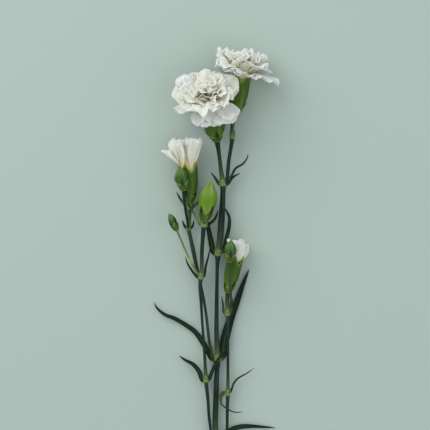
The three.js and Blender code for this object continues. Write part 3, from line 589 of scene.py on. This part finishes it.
def add_sheath(skin, stalk, joint):
    """The short cup that the grown-together feet of a leaf pair make round the joint."""
    turns = np.arange(SHEATH_SIDES) / SHEATH_SIDES * 2 * math.pi
    towards_leaf = np.cos(turns) ** 2
    centre, ahead, _ = stalk_at(stalk, joint)
    right = ahead.cross(Vector((0, 0, 1))).normalized()
    over = np.array(right.cross(ahead))
    right, ahead = np.array(right), np.array(ahead)
    rings, tone, grain = [], [], []
    # share of the rim's height, clearance outside the stem in mm, tone
    for share, out, shade in ((-0.55, -0.15, 0.2), (-0.5, 0.16, 0.3), (-0.3, 0.26, 0.7), (0.1, 0.2, 0.65),
                              (0.5, 0.24, 0.45), (1.0, 0.34, 0.5), (0.94, 0.05, 0.5), (0.4, -0.2, 0.3)):
        tall = share * (1.5 + 3.2 * towards_leaf) if share > 0 else share * 3.0 + 0 * turns
        swell = 1 + JOINT_SWELL * np.exp(-(tall / JOINT_REACH) ** 2)
        middle = np.array([stalk_at(stalk, joint + float(rise))[0] for rise in tall])
        radius = np.array([stalk_at(stalk, joint + float(rise))[2] for rise in tall])
        wide = radius * swell + out + (0.35 * towards_leaf * max(share, 0) if out > 0 else 0)
        rings.append(middle + right * (wide * np.cos(turns))[:, None]
                     + over * (wide * np.sin(turns))[:, None])
        tone.append(shade + 0 * turns)
        grain.append(np.stack([np.cos(turns), np.sin(turns), joint + tall], axis=1))
    skin.tube(rings, grain, tone, shut=False)


collar = Skin()
add_sheath(collar, "pedicel_second_flower", 334.8)
collar.piece("skin_collar_second_flower", LEAF_SKIN, ["pedicel_second_flower"], "leaf")
for number, (leaf, (stalk, joint, half_width, fold, spine)) in enumerate(LEAVES.items()):
    skin = Skin()
    add_leaf(skin, spine, half_width, fold, number, tail=0.6 if leaf == "leaf_curled" else 0.0,
             young=LIGHT_LEAVES.get(leaf, 0.0))
    if leaf.endswith("left") or leaf in ("leaf_branch_left_outer", "leaf_curled"):
        add_sheath(skin, stalk, joint)
    skin.piece("skin_" + leaf, LEAF_SKIN, [leaf], "leaf")
for number, (pair, (stalk, joint, half_width, fold, left, right)) in enumerate(LEAF_PAIRS.items()):
    skin = Skin()
    add_leaf(skin, left, half_width, fold, 40 + number, young=LIGHT_LEAVES.get(pair, 0.0))
    add_leaf(skin, right, half_width, fold, 60 + number, young=LIGHT_LEAVES.get(pair, 0.0))
    add_sheath(skin, stalk, joint)
    skin.piece("skin_" + pair, LEAF_SKIN, [pair], "leaf")


# ---- Calyces, closed buds and the bracts at their feet ----
# The calyx is one green tube with fine ribs that ends in five pointed teeth; on a bud the teeth are
# still closed over the petals. Four overlapping pointed bracts hug its foot in two crossed pairs.

TEETH = 5
CALYX_SHAPE = [(0, 0.26), (0.05, 0.4), (0.17, 0.62), (0.4, 0.9), (0.8, 0.98), (1.0, 1.0), (1.2, 1.02)]
BUD_SHAPE = [(0, 0.26), (0.05, 0.4), (0.17, 0.62), (0.4, 0.9), (0.56, 1), (0.74, 0.84), (0.88, 0.5),
(1, 0.06)]
CALYX_WALL = 0.55
CALYX_SIDES = 60
CALYX_TURNS = np.arange(CALYX_SIDES) / CALYX_SIDES * 2 * math.pi
BRACT_THICKNESS = 0.34
BRACT_SPREAD = 64
BRACT_BODY_END = 0.62


class Flower:
    """A flower's own directions: foot, the axis it points along, its right-hand and its upper side."""

    def __init__(self, foot, lean, lift):
        lean, lift = math.radians(lean), math.radians(lift)
        self.foot = np.array(foot, float)
        self.axis = np.array([
            math.sin(lean) * math.cos(lift), math.cos(lean) * math.cos(lift), math.sin(lift)])
        self.right = np.array([math.cos(lean), -math.sin(lean), 0.0])
        self.upper = np.cross(self.right, self.axis)

    def place(self, out, turn, high):
        out, turn, high = (np.asarray(v, float)[..., None] for v in (out, turn, high))
        return self.foot + self.axis * high + (self.right * np.cos(turn) + self.upper * np.sin(turn)) * out


FIRST_FLOWER = Flower((0.1, 332, 12.2), -12, 24)
SECOND_FLOWER = Flower((14.4, 352.8, 11.8), 8, 10)
HALF_OPEN_FLOWER = Flower((-20.1, 286.3, 8.7), -4, 4)
OPENING_FLOWER = Flower((8.2, 218, 8.6), 12, 3)
GREEN_BUD = Flower((-9.5, 271.6, 14.2), 9.5, 3)
SIDE_BUD = Flower((-24.9, 294.6, 21.2), -9, 6)
FRONT_BUD = Flower((9.0, 241.4, 22.4), 5, 8)
TINY_BUD = Flower((-29.9, 264.9, 14.7), -26, 4)

CALYX_SKIN = green_tissue("calyx_skin", (0.013, 0.050, 0.002), (0.068, 0.145, 0.005), (0.070, 0.138, 0.016),
                          (0.34, 0.42, 0.08), across=3.4, along=0.05, bloom_share=0.16, rough=0.34, ribs=0.5,
                          gloss=0.2)
BUD_SKIN = green_tissue("bud_skin", (0.060, 0.160, 0.004), (0.155, 0.285, 0.010), (0.21, 0.33, 0.05),
                        (0.48, 0.57, 0.22), across=3.4, along=0.05, bloom_share=0.3, rough=0.34, ribs=0.5,
                        gloss=0.22)
SMALL_BUD_SKIN = green_tissue("small_bud_skin", (0.012, 0.052, 0.005), (0.048, 0.130, 0.010),
                              (0.055, 0.125, 0.04), (0.34, 0.42, 0.12), across=3.4, along=0.05,
                              bloom_share=0.35, rough=0.36, gloss=0.25)
BRACT_SKIN = green_tissue("bract_skin", (0.022, 0.066, 0.005), (0.075, 0.142, 0.010), (0.075, 0.135, 0.03),
                          (0.32, 0.40, 0.10), across=3.0, along=0.06, bloom_share=0.3, rough=0.36, ribs=0.4,
                          gloss=0.25)


def shape_at(shape, along):
    """The smooth outline through a shape's points, as a share of the full radius."""
    x, y = np.array(shape).T
    slope = np.gradient(y, x)
    k = np.clip(np.searchsorted(x, along, side="right") - 1, 0, len(x) - 2)
    step = x[k + 1] - x[k]
    f = (along - x[k]) / step
    return ((2 * f ** 3 - 3 * f ** 2 + 1) * y[k] + (f ** 3 - 2 * f ** 2 + f) * step * slope[k]
            + (3 * f ** 2 - 2 * f ** 3) * y[k + 1] + (f ** 3 - f ** 2) * step * slope[k + 1])


def body_width(shape, radius, slim, along):
    """The radius of a calyx at a share of its length; a slim one is narrower towards its foot."""
    return radius * shape_at(shape, along) * (slim + (1 - slim) * np.clip(along, 0, 1))


def nearness_to_teeth(first_tooth):
    """1 at each of the five teeth round a calyx and 0 midway between them."""
    return np.abs(((CALYX_TURNS - math.radians(first_tooth)) / (2 * math.pi) * TEETH) % 1 - 0.5) * 2


def add_calyx(skin, flower, radius, length, slim, tooth, first_tooth):
    """An open tube: up its outside to the toothed rim and back down its inside."""
    turns = CALYX_TURNS
    cycle = nearness_to_teeth(first_tooth)
    rim = length * (1 + tooth * (cycle ** 1.4 * 1.5 - 0.5))
    outside = [(share, 0.12 * cycle * share ** 3,
                0.5 * (1 - share) ** 4 + 0.8 * np.clip((share - 0.88) / 0.12, 0, 1) ** 2)
               for share in np.linspace(0, 1, 19)]
    inside = [(share, -CALYX_WALL, 0.3) for share in (0.995, 0.9, 0.75, 0.55)]
    rings, grain, tone = [], [], []
    for share, out, shade in outside + inside:
        high = rim * share
        rings.append(flower.place(body_width(CALYX_SHAPE, radius, slim, high / length) + out, turns, high))
        grain.append(np.stack([np.cos(turns), np.sin(turns), high], axis=1))
        tone.append(np.clip(shade + 0 * turns, 0, 1))
    skin.tube(rings, grain, tone)


def add_bud(skin, flower, radius, length, first_tooth=70):
    """A closed bud, whose five teeth meet in pale seams towards its tip."""
    turns = CALYX_TURNS
    cycle = nearness_to_teeth(first_tooth)
    rings, grain, tone = [], [], []
    for share in 1 - (1 - np.linspace(0, 1, 26)) ** 1.15:
        closing = float(smooth_step((share - 0.55) / 0.3))
        wide = radius * shape_at(BUD_SHAPE, share) * (1 - 0.09 * closing * (1 - cycle) ** 2)
        high = length * share + 0 * turns
        rings.append(flower.place(wide, turns, high))
        grain.append(np.stack([np.cos(turns), np.sin(turns), high], axis=1))
        seam = np.exp(-((1 - cycle) / 0.16) ** 2)
        tone.append(np.clip(0.35 * (1 - share) ** 5 + 0.55 * closing * (0.25 + seam), 0, 1))
    skin.tube(rings, grain, tone)


def add_bracts(skin, flower, radius, length, reach, slim=1.0, shape=CALYX_SHAPE, first_bract=90, seed=0):
    """Two crossed pairs of broad bracts, each drawn out suddenly to a short dark point."""
    chance = random.Random(seed)
    rows, columns = 21, 13
    t = np.linspace(-1, 1, columns)
    s = np.linspace(0, 1, rows)
    for number in range(4):
        inner = number % 2
        turn = math.radians(first_bract) + number * math.pi / 2 + chance.uniform(-0.1, 0.1)
        tall = length * reach * (1.06 if inner else 0.86) * chance.uniform(0.95, 1.05)
        shoulder = np.clip(1 - (s / BRACT_BODY_END) ** 4.5, 0, 1) ** 0.5
        point = 0.24 * np.clip((1 - s) / (1 - 0.4), 0, 1) ** 0.8
        half = math.radians(BRACT_SPREAD) * np.maximum(shoulder, point) + 0.01
        high = np.broadcast_to((tall * s)[:, None], (rows, columns))
        stand = 0.3 + 0.3 * (1 - inner) + 0.8 * np.clip(s[:, None] - BRACT_BODY_END, 0, 1) * inner
        body = body_width(shape, radius, slim, np.clip(high / length, 0, 1))
        grid = flower.place(body + stand, turn + half[:, None] * t[None, :], high - 0.3)
        grain = np.stack(np.broadcast_arrays(t[None, :] * 1.5, float(number * 7), high), axis=2)
        margin = 0.6 * np.clip((np.abs(t)[None, :] - 0.8) / 0.2, 0, 1) * (s[:, None] < BRACT_BODY_END)
        margin = margin + (0.7 * np.exp(-((s[:, None] - BRACT_BODY_END * 0.9) / 0.05) ** 2)
                           * (np.abs(t)[None, :] > 0.3))
        foot = 0.35 * (s[:, None] < 0.1)
        dark = (-0.95 * smooth_step((s[:, None] - 0.3) / 0.3)
                * np.exp(-(half[:, None] * t[None, :] / 0.34) ** 2))
        tone = np.clip(margin + foot, 0, 1) + dark
        skin.sheet(grid, grid_normals(grid), np.full((rows, columns), BRACT_THICKNESS / 2), grain, tone)


FIRST_CALYX = dict(flower=FIRST_FLOWER, radius=8.2, length=28)
SECOND_CALYX = dict(flower=SECOND_FLOWER, radius=7.4, length=27)
HALF_OPEN_CALYX = dict(flower=HALF_OPEN_FLOWER, radius=7.6, length=25)
OPENING_CALYX = dict(flower=OPENING_FLOWER, radius=6.2, length=25)
# name, calyx, slimness of its lower half, length share and turn of its teeth, reach and turn of its bracts
for name, calyx, slim, tooth, first_tooth, reach, first_bract in (
        ("first_flower", FIRST_CALYX, 1.0, 0.03, 54, 0.4, 84),
        ("second_flower", SECOND_CALYX, 0.95, 0.15, 48, 0.34, 112),
        ("half_open", HALF_OPEN_CALYX, 0.85, 0.19, 34, 0.36, 28),
        ("opening", OPENING_CALYX, 0.9, 0.18, 90, 0.36, 150)):
    skin = Skin()
    add_calyx(skin, **calyx, slim=slim, tooth=tooth, first_tooth=first_tooth)
    skin.piece("skin_calyx_" + name, CALYX_SKIN, ["calyx_" + name], "calyx")
    skin = Skin()
    add_bracts(skin, **calyx, reach=reach, slim=slim, first_bract=first_bract, seed=len(name))
    skin.piece("skin_bracts_" + name, BRACT_SKIN, ["bracts_" + name], "bract")
for name, bud, radius, length, reach, first_bract, green in (
        ("green", GREEN_BUD, 7.2, 30, 0.42, 130, BUD_SKIN),
        ("side", SIDE_BUD, 4.9, 18, 0.62, 92, SMALL_BUD_SKIN),
        ("front", FRONT_BUD, 4.4, 16.5, 0.62, 84, SMALL_BUD_SKIN)):
    skin = Skin()
    add_bud(skin, bud, radius, length)
    skin.piece("skin_bud_" + name, green, ["bud_" + name], "calyx")
    skin = Skin()
    add_bracts(skin, bud, radius, length, reach, shape=BUD_SHAPE, first_bract=first_bract, seed=len(name) + 3)
    skin.piece(f"skin_bracts_{name}_bud", BRACT_SKIN, [f"bracts_{name}_bud"], "bract")
skin = Skin()
add_bud(skin, TINY_BUD, 3.0, 14)
add_bracts(skin, TINY_BUD, 3.0, 14, 0.7, shape=BUD_SHAPE, first_bract=140, seed=9)
skin.piece("skin_bud_tiny", SMALL_BUD_SKIN, ["bud_tiny"], "calyx")


# ---- Petals ----
# Thin white fans on narrow claws that come out of the calyx, with waved and toothed outer edges.
# The lowest spread or hang down; the inner ones stand up, crumpled against each other.

PETAL_THICKNESS = 0.24
# how deep a claw sits in its calyx, in mm, and on what share of the calyx's radius
CLAW_SUNK = 4.0
CLAW_RING = 0.55


PETAL_SHADE, PETAL_LIGHT = (0.89, 0.90, 0.88, 1), (0.94, 0.95, 0.94, 1)
# the cream colour is the petals' own cream at their feet and also painted warm shade in the valleys of their
# ruffles
PETAL_WARM, PETAL_CREAM_AND_FOLD_SHADE = (0.94, 0.92, 0.84, 1), (0.96, 0.86, 0.40, 1)


def petal_material():
    """White petal: faint veins, warmer in patches and creamy where the tone attribute is high, which is at
    the petals' real cream feet and, as painted warm shade, in the valleys of their ruffles.
    """
    skin = bpy.data.materials.new("petal_white")
    skin.use_nodes = True
    tree = skin.node_tree
    surface = tree.nodes["Principled BSDF"]
    grain = wire(tree, "ShaderNodeAttribute", attribute_name="grain")
    cream_and_fold_shade = wire(tree, "ShaderNodeAttribute", attribute_name="tone")
    veins = wire(tree, "ShaderNodeGroup", node_tree=GROWTH_STREAKS)
    tree.links.new(grain.outputs["Vector"], veins.inputs["Grain"])
    veins.inputs["Across"].default_value = 11.0
    veins.inputs["Along"].default_value = 0.10
    white = blend_colours(tree, veins.outputs["Streak"], PETAL_SHADE, PETAL_LIGHT)
    white = blend_colours(tree, maths(tree, "MULTIPLY", veins.outputs["Patches"], 0.35), white,
                          PETAL_WARM)
    # creamy at the petal feet, and painted warm shade in the ruffle valleys
    white = blend_colours(tree, cream_and_fold_shade.outputs["Fac"], white, PETAL_CREAM_AND_FOLD_SHADE)
    tree.links.new(white, surface.inputs["Base Color"])
    rough = maths(tree, "ADD", maths(tree, "MULTIPLY", veins.outputs["Streak"], 0.12), 0.55)
    tree.links.new(rough, surface.inputs["Roughness"])
    bump = wire(tree, "ShaderNodeBump", {
        "Strength": 0.3, "Distance": 0.0003, "Height": veins.outputs["Streak"]})
    tree.links.new(bump.outputs["Normal"], surface.inputs["Normal"])
    surface.inputs["Subsurface Weight"].default_value = 0.4
    surface.inputs["Subsurface Radius"].default_value = (1.0, 0.95, 0.8)
    surface.inputs["Subsurface Scale"].default_value = 0.004
    surface.inputs["Specular IOR Level"].default_value = 0.25
    surface.inputs["Sheen Weight"].default_value = 0.08
    return skin


PETAL_WHITE = petal_material()


def petal_grid(bend, length, half_width, ruffle, seed, first=8, low=0.0, high_end=0.55, cup=0.0, roll=0.0,
               cream=0.0, pleats=1.7, rows=17, columns=31):
    """A petal in its own directions: out from the flower's axis, sideways, and along the axis."""
    chance = random.Random(seed)
    s = np.linspace(0, 1, rows)
    t = np.linspace(-1, 1, columns)
    angle = np.radians(first + (bend - first) * np.clip((s - low) / (high_end - low), 0, 1))
    step = length / (rows - 1)
    out = np.concatenate([[0], np.cumsum(np.sin((angle[1:] + angle[:-1]) / 2) * step)])
    high = np.concatenate([[0], np.cumsum(np.cos((angle[1:] + angle[:-1]) / 2) * step)])
    wide = half_width * (0.17 + 0.83 * smooth_step((s - 0.06) / 0.72))
    crown = 1 - 0.16 * t ** 2 - 0.05 * t ** 6
    notch = 0.05 * np.sin(t * 3.1 + chance.uniform(0, 6))
    teeth = np.array([chance.uniform(0.3, 1.0) if k % 2 else 0.0 for k in range(columns)])
    reach = s[:, None] * (crown + notch)[None, :] - (s[:, None] ** 10) * teeth[None, :] * 0.95 / length
    at = np.clip(reach, 0, 1.1)
    out_at = np.interp(at, s, out) + np.maximum(at - 1, 0) * length * np.sin(angle[-1])
    high_at = np.interp(at, s, high) + np.maximum(at - 1, 0) * length * np.cos(angle[-1])
    turn_at = np.interp(at, s, angle)
    waves = pleats * chance.uniform(0.78, 1.22)
    phase, phase_fine = chance.uniform(0, 6.3), chance.uniform(0, 6.3)
    lift = ruffle * (at ** 1.7) * np.sin(math.pi * waves * t + phase)[None, :]
    lift = lift + 0.38 * ruffle * (at ** 4) * np.sin(math.pi * waves * 2.7 * t + phase_fine)[None, :]
    lift = lift + 0.12 * ruffle * np.sin(at * 9 + phase) * np.cos(t * 4 + phase_fine)[None, :]
    lift = lift + 0.3 * ruffle * at * np.sin(math.pi * waves * 1.8 * t + phase_fine * 2)[None, :]
    lift = lift + cup * wide[:, None] * t[None, :] ** 2
    roll = math.radians(roll) * smooth_step(s / 0.6)[:, None]
    side = wide[:, None] * t[None, :] * (1 - 0.05 * np.cos(math.pi * waves * t + phase)[None, :])
    side, lift = side * np.cos(roll) - lift * np.sin(roll), side * np.sin(roll) + lift * np.cos(roll)
    out_at = out_at - np.cos(turn_at) * lift
    high_at = high_at + np.sin(turn_at) * lift
    grid = np.stack([out_at, side, high_at], axis=2)
    grain = np.stack(np.broadcast_arrays(t[None, :] * 1.2, float(seed % 97), at * length + seed % 13), axis=2)
    cream_and_fold_shade = 0.95 * (1 - smooth_step((at - 0.08) / 0.5)) + cream * (1 - smooth_step((at - 0.45) / 0.75))
    # painted warm shade: where the ruffles dip into valleys (lift below zero) the petal is painted creamier,
    # standing in for the shade in its folds
    cream_and_fold_shade = np.clip(cream_and_fold_shade + 0.4 * np.clip(-lift / (1.3 * ruffle), 0, 1) * (1 - 0.5 * at), 0, 1)
    return grid, grain, cream_and_fold_shade


def add_petal(skin, calyx, turn, bend, length, half_width, ruffle, seed, **more):
    """Places one petal with its claw sunk into the mouth of its calyx."""
    flower = calyx["flower"]
    grid, grain, cream_and_fold_shade = petal_grid(bend, length + CLAW_SUNK, half_width, ruffle, seed, **more)
    turn = math.radians(turn)
    outwards = flower.right * math.cos(turn) + flower.upper * math.sin(turn)
    sideways = -flower.right * math.sin(turn) + flower.upper * math.cos(turn)
    placed = (flower.foot + outwards * (grid[..., :1] + calyx["radius"] * CLAW_RING)
              + sideways * grid[..., 1:2]
              + flower.axis * (grid[..., 2:] + calyx["length"] - CLAW_SUNK))
    thick = np.full(grid.shape[:2], PETAL_THICKNESS / 2)
    skin.sheet(placed, grid_normals(placed), thick, grain, cream_and_fold_shade)


# The first flower's outer petals: turn, bend, length, half width, ruffle, share before it bends, roll
FIRST_OUTER = {
    1: [(6, 66, 13, 8, 1.4, 0.0, 0), (46, 130, 21, 9, 0.8, 0.0, 0)],
    2: [(60, 140, 21, 11, 0.8, 0.0, 0), (74, 144, 16, 8, 1.2, 0.0, 0), (88, 150, 13, 7, 1.2, 0.0, 0),
        (52, 96, 18, 9, 1.6, 0.2, 0)],
    3: [(97, 156, 14, 7, 1.2, 0.0, 0), (118, 146, 14, 8, 1.4, 0.0, 0), (142, 142, 14, 8, 1.0, 0.0, 0),
        (76, 96, 19, 9, 1.6, 0.22, 0), (100, 92, 20, 9, 1.6, 0.22, 0), (126, 96, 19, 9, 1.6, 0.22, 0),
        (88, 84, 22, 9, 1.8, 0.35, 0), (90, 124, 17, 7, 1.0, 0.05, 0)],
    4: [(164, 54, 17, 8, 1.5, 0.0, 30), (184, 54, 22, 9, 1.5, 0.0, 40), (192, 42, 24, 9, 1.8, 0.1, 30)],
    5: [(202, 50, 28, 11, 1.7, 0.0, 30), (230, 46, 30, 11, 1.7, 0.0, 0), (226, 84, 17, 10, 1.2, 0.0, 0),
        (216, 38, 26, 9, 2.0, 0.1, 20), (246, 36, 26, 9, 2.0, 0.1, 0)],
    6: [(268, 47, 27, 10, 1.5, 0.0, 0), (300, 52, 26, 10, 1.5, 0.0, 0),
    (342, 50, 25, 11, 1.0, 0.0, -55),
        (326, 56, 23, 9, 1.5, 0.0, -20), (284, 86, 17, 10, 1.2, 0.0, 0), (316, 84, 16, 9, 1.2, 0.0, 0)],
}
for number, petals in FIRST_OUTER.items():
    skin = Skin()
    for i, (turn, bend, length, half_width, ruffle, low, roll) in enumerate(petals):
        add_petal(skin, FIRST_CALYX, turn, bend, length, half_width, ruffle, 100 + number * 10 + i, low=low,
                  high_end=low + 0.55, roll=roll)
    skin.piece(f"skin_petal_first_flower_{number}", PETAL_WHITE, [f"petal_first_flower_{number}"], "petal")


def whorl_tree():
    """Geometry nodes: petals set round the flower's axis, each turned on from the last."""
    tree = bpy.data.node_groups.new("petal_whorl", "GeometryNodeTree")
    sockets(tree, [
        ("Geometry", "Axis"), ("Collection", "Petals"), ("Int", "Count", 12),
        ("Float", "Turn step", math.radians(137.5)), ("Float", "Foot radius", 4.0),
        ("Float", "Inner lean", 0.0), ("Float", "Outer lean", 0.5), ("Float", "Short sides", 0.0),
        ("Float", "Short sides turn", 0.0), ("Int", "Seed", 1), ("Material", "Skin")],
        [("Geometry", "Whorl")])
    given = tree.nodes.new("NodeGroupInput").outputs
    index = tree.nodes.new("GeometryNodeInputIndex").outputs[0]
    share = maths(tree, "DIVIDE", index, given["Count"])

    def chance(low, high, offset):
        node = tree.nodes.new("FunctionNodeRandomValue")
        node.data_type = "FLOAT"
        node.inputs[2].default_value = low
        node.inputs[3].default_value = high
        tree.links.new(index, node.inputs["ID"])
        tree.links.new(maths(tree, "ADD", given["Seed"], offset), node.inputs["Seed"])
        return node.outputs[1]

    turn = maths(tree, "ADD", maths(tree, "MULTIPLY", index, given["Turn step"]), chance(-0.25, 0.25, 1))
    upright_to_spread = wire(tree, "ShaderNodeMix", {
        0: share, 2: given["Inner lean"], 3: given["Outer lean"]}, data_type="FLOAT").outputs[0]
    lean = maths(tree, "ADD", upright_to_spread, chance(-0.12, 0.12, 2))
    facing = maths(tree, "ABSOLUTE", maths(tree, "COSINE", maths(
        tree, "SUBTRACT", turn, given["Short sides turn"])))
    pressed = maths(tree, "MULTIPLY", maths(tree, "POWER", facing, 4.0), given["Short sides"])
    size = maths(tree, "MULTIPLY", chance(0.92, 1.08, 3), maths(tree, "SUBTRACT", 1.0, pressed))
    radius = maths(tree, "MULTIPLY", given["Foot radius"], maths(tree, "POWER", share, 0.5))
    place = wire(tree, "ShaderNodeCombineXYZ", {
        0: maths(tree, "MULTIPLY", radius, maths(tree, "COSINE", turn)),
        1: maths(tree, "MULTIPLY", radius, maths(tree, "SINE", turn))})
    points = wire(tree, "GeometryNodePoints", {"Count": given["Count"], "Position": place.outputs[0]})
    angles = wire(tree, "ShaderNodeCombineXYZ", {1: lean, 2: turn})
    rotation = wire(tree, "FunctionNodeEulerToRotation", {0: angles.outputs[0]})
    shapes = wire(tree, "GeometryNodeCollectionInfo", {
        "Collection": given["Petals"], "Separate Children": True, "Reset Children": True})
    set_out = wire(tree, "GeometryNodeInstanceOnPoints", {
        "Points": points.outputs[0], "Instance": shapes.outputs[0], "Pick Instance": True,
        "Instance Index": index, "Rotation": rotation.outputs[0], "Scale": size})
    whole = wire(tree, "GeometryNodeRealizeInstances", {"Geometry": set_out.outputs[0]})
    done = wire(tree, "GeometryNodeSetMaterial", {"Geometry": whole.outputs[0], "Material": given["Skin"]})
    wire(tree, "NodeGroupOutput", {"Whorl": done.outputs[0]})
    return tree


WHORL_TREE = whorl_tree()


def petal_shapes(name, count, bends, lengths, half_widths, ruffle, lows=(0.12, 0.12), high_ends=(0.95, 0.7),
                 pleats=1.7, cream=0.45):
    """The petals that a whorl sets out, from the upright innermost to the spreading outermost."""
    shapes = bpy.data.collections.new(name)
    chance = random.Random(name)
    for number in range(count):
        share = number / (count - 1)

        def between(ends):
            return ends[0] + (ends[1] - ends[0]) * share

        skin = Skin()
        grid, grain, cream_and_fold_shade = petal_grid(
            between(bends) + chance.uniform(-7, 7), between(lengths) * chance.uniform(0.94, 1.05),
            between(half_widths) * chance.uniform(0.9, 1.1), ruffle * chance.uniform(0.8, 1.2),
            500 + 7 * number, first=2, low=between(lows), high_end=between(high_ends),
            cup=0.22 * (1 - share), roll=chance.uniform(-22, 22),
            cream=cream * (1 - 0.75 * share), pleats=pleats)
        skin.sheet(grid, grid_normals(grid), np.full(grid.shape[:2], PETAL_THICKNESS / 2), grain, cream_and_fold_shade)
        label = f"{name}_{number:02d}"
        shapes.objects.link(bpy.data.objects.new(label, outward(skin.mesh(label, PETAL_WHITE))))
    return shapes


def crumpled_heart(name, flower, height, shapes, **values):
    """Grows a whorl in the flower's own directions and sets it on the flower."""
    start = bpy.data.meshes.new("whorl_" + name)
    piece = grow(show("skin_inner_petals_" + name, start), WHORL_TREE, Petals=shapes,
                 Count=len(shapes.objects), Skin=PETAL_WHITE, **values)
    mesh = piece.data
    points = np.empty(len(mesh.vertices) * 3)
    mesh.vertices.foreach_get("co", points)
    points = points.reshape(-1, 3)
    placed = (flower.foot + flower.right * points[:, :1] + flower.upper * points[:, 1:2]
              + flower.axis * (points[:, 2:] + height))
    mesh.vertices.foreach_set("co", laid_down(placed).ravel())
    mesh.update()
    outward(mesh)
    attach(piece, "root")
    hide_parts("inner_petals_" + name)


FIRST_SHAPES = petal_shapes("first_flower_petal", 42, (10, 112), (26, 30), (7.0, 10.5), 2.3,
                            lows=(0.45, 0.08), high_ends=(1.0, 0.75), pleats=1.6, cream=0.8)
crumpled_heart("first_flower", FIRST_FLOWER, 24, FIRST_SHAPES,
               **{"Foot radius": 5.0, "Inner lean": 0.0, "Outer lean": 0.1,
                  "Short sides": 0.17, "Short sides turn": 0.3, "Seed": 4})

# The second flower's outer petals: turn, bend, length, half width
SECOND_OUTER = {
    1: [(350, 112, 26, 9), (12, 106, 25, 10), (330, 104, 22, 9)],
    2: [(46, 92, 19, 9), (82, 84, 18, 9), (118, 80, 18, 8)],
    3: [(166, 50, 20, 8), (182, 46, 26, 9), (204, 56, 22, 8)],
    4: [(236, 70, 15, 8), (268, 78, 14, 8), (300, 82, 15, 8)],
}
for number, petals in SECOND_OUTER.items():
    skin = Skin()
    for i, (turn, bend, length, half_width) in enumerate(petals):
        add_petal(skin, SECOND_CALYX, turn, bend, length, half_width, 1.4, 200 + number * 10 + i)
    skin.piece(f"skin_petal_second_flower_{number}", PETAL_WHITE, [f"petal_second_flower_{number}"], "petal")
SECOND_SHAPES = petal_shapes("second_flower_petal", 28, (12, 96), (23, 28), (7.0, 10.0), 2.1,
                             lows=(0.35, 0.1), high_ends=(1.0, 0.75), pleats=1.5, cream=0.45)
crumpled_heart("second_flower", SECOND_FLOWER, 23, SECOND_SHAPES,
               **{"Foot radius": 4.4, "Inner lean": 0.0, "Outer lean": 0.1, "Seed": 8})

# The half-open flower: one petal folded out, the rest still a loose upright bundle
skin = Skin()
add_petal(skin, HALF_OPEN_CALYX, 170, 46, 20, 6, 1.4, 301)
add_petal(skin, HALF_OPEN_CALYX, 198, 36, 18, 6.5, 1.4, 302)
skin.piece("skin_petal_half_open", PETAL_WHITE, ["petal_half_open"], "petal")
HALF_OPEN_SHAPES = petal_shapes("half_open_petal", 18, (4, 19), (24, 27), (5.0, 7.0), 2.1,
                                high_ends=(0.9, 0.9))
crumpled_heart("half_open", HALF_OPEN_FLOWER, 21, HALF_OPEN_SHAPES,
               **{"Foot radius": 5.4, "Inner lean": -0.05, "Outer lean": 0.06, "Seed": 5})

# The flower that is just opening: a short tight bundle
OPENING_SHAPES = petal_shapes("opening_petal", 12, (4, 20), (19, 21), (4.5, 5.5), 1.2, high_ends=(0.9, 0.9))
crumpled_heart("opening", OPENING_FLOWER, 20, OPENING_SHAPES,
               **{"Foot radius": 3.8, "Inner lean": -0.05, "Outer lean": 0.1, "Seed": 11})


# ---- Floor, light and camera ----
# A plain pale floor that the stem lies on, soft light from above, and a camera that looks straight
# down on it.

FLOOR_SIZE = 16.0
floor_mesh = bpy.data.meshes.new("floor")
half = FLOOR_SIZE / 2
floor_mesh.from_pydata([(-half, -half, 0), (half, -half, 0), (half, half, 0),
(-half, half, 0)], [], [(0, 1, 2, 3)])
floor = show("floor", floor_mesh)
floor_paint = bpy.data.materials.new("floor_paint")
floor_paint.use_nodes = True
paint = floor_paint.node_tree.nodes["Principled BSDF"]
paint.inputs["Base Color"].default_value = (0.44, 0.525, 0.475, 1)
paint.inputs["Roughness"].default_value = 0.9
floor_mesh.materials.append(floor_paint)


def soft_light(name, place, aim, size, watts):
    lamp = bpy.data.lights.new(name, "AREA")
    lamp.shape = "SQUARE"
    lamp.size = size
    lamp.energy = watts
    holder = bpy.data.objects.new(name, lamp)
    holder.location = place
    holder.rotation_euler = (Vector(aim) - Vector(place)).to_track_quat("-Z", "Y").to_euler()
    bpy.context.scene.collection.objects.link(holder)


soft_light("key_light", (-0.85, 0.95, 1.0), (0, 0.1, 0), 1.3, 13)
soft_light("fill_light", (0.9, -0.2, 1.0), (0, 0.08, 0), 1.2, 3)
world = bpy.data.worlds.new("studio")
world.use_nodes = True
world.node_tree.nodes["Background"].inputs["Color"].default_value = (0.86, 0.92, 0.95, 1)
world.node_tree.nodes["Background"].inputs["Strength"].default_value = 0.68
bpy.context.scene.world = world
bpy.context.scene.view_settings.view_transform = "Standard"

CAMERA_HEIGHT = 1.5
SENSOR_WIDTH = 36
VIEW_WIDTH = 0.3225
VIEW_MIDDLE = in_frame((-1.5, 276.25, 10))
lens = bpy.data.cameras.new("camera")
lens.sensor_width = SENSOR_WIDTH
lens.lens = SENSOR_WIDTH * CAMERA_HEIGHT / VIEW_WIDTH
camera = bpy.data.objects.new("camera", lens)
camera.location = (VIEW_MIDDLE.x, VIEW_MIDDLE.y, VIEW_MIDDLE.z + CAMERA_HEIGHT)
bpy.context.scene.collection.objects.link(camera)
bpy.context.scene.camera = camera
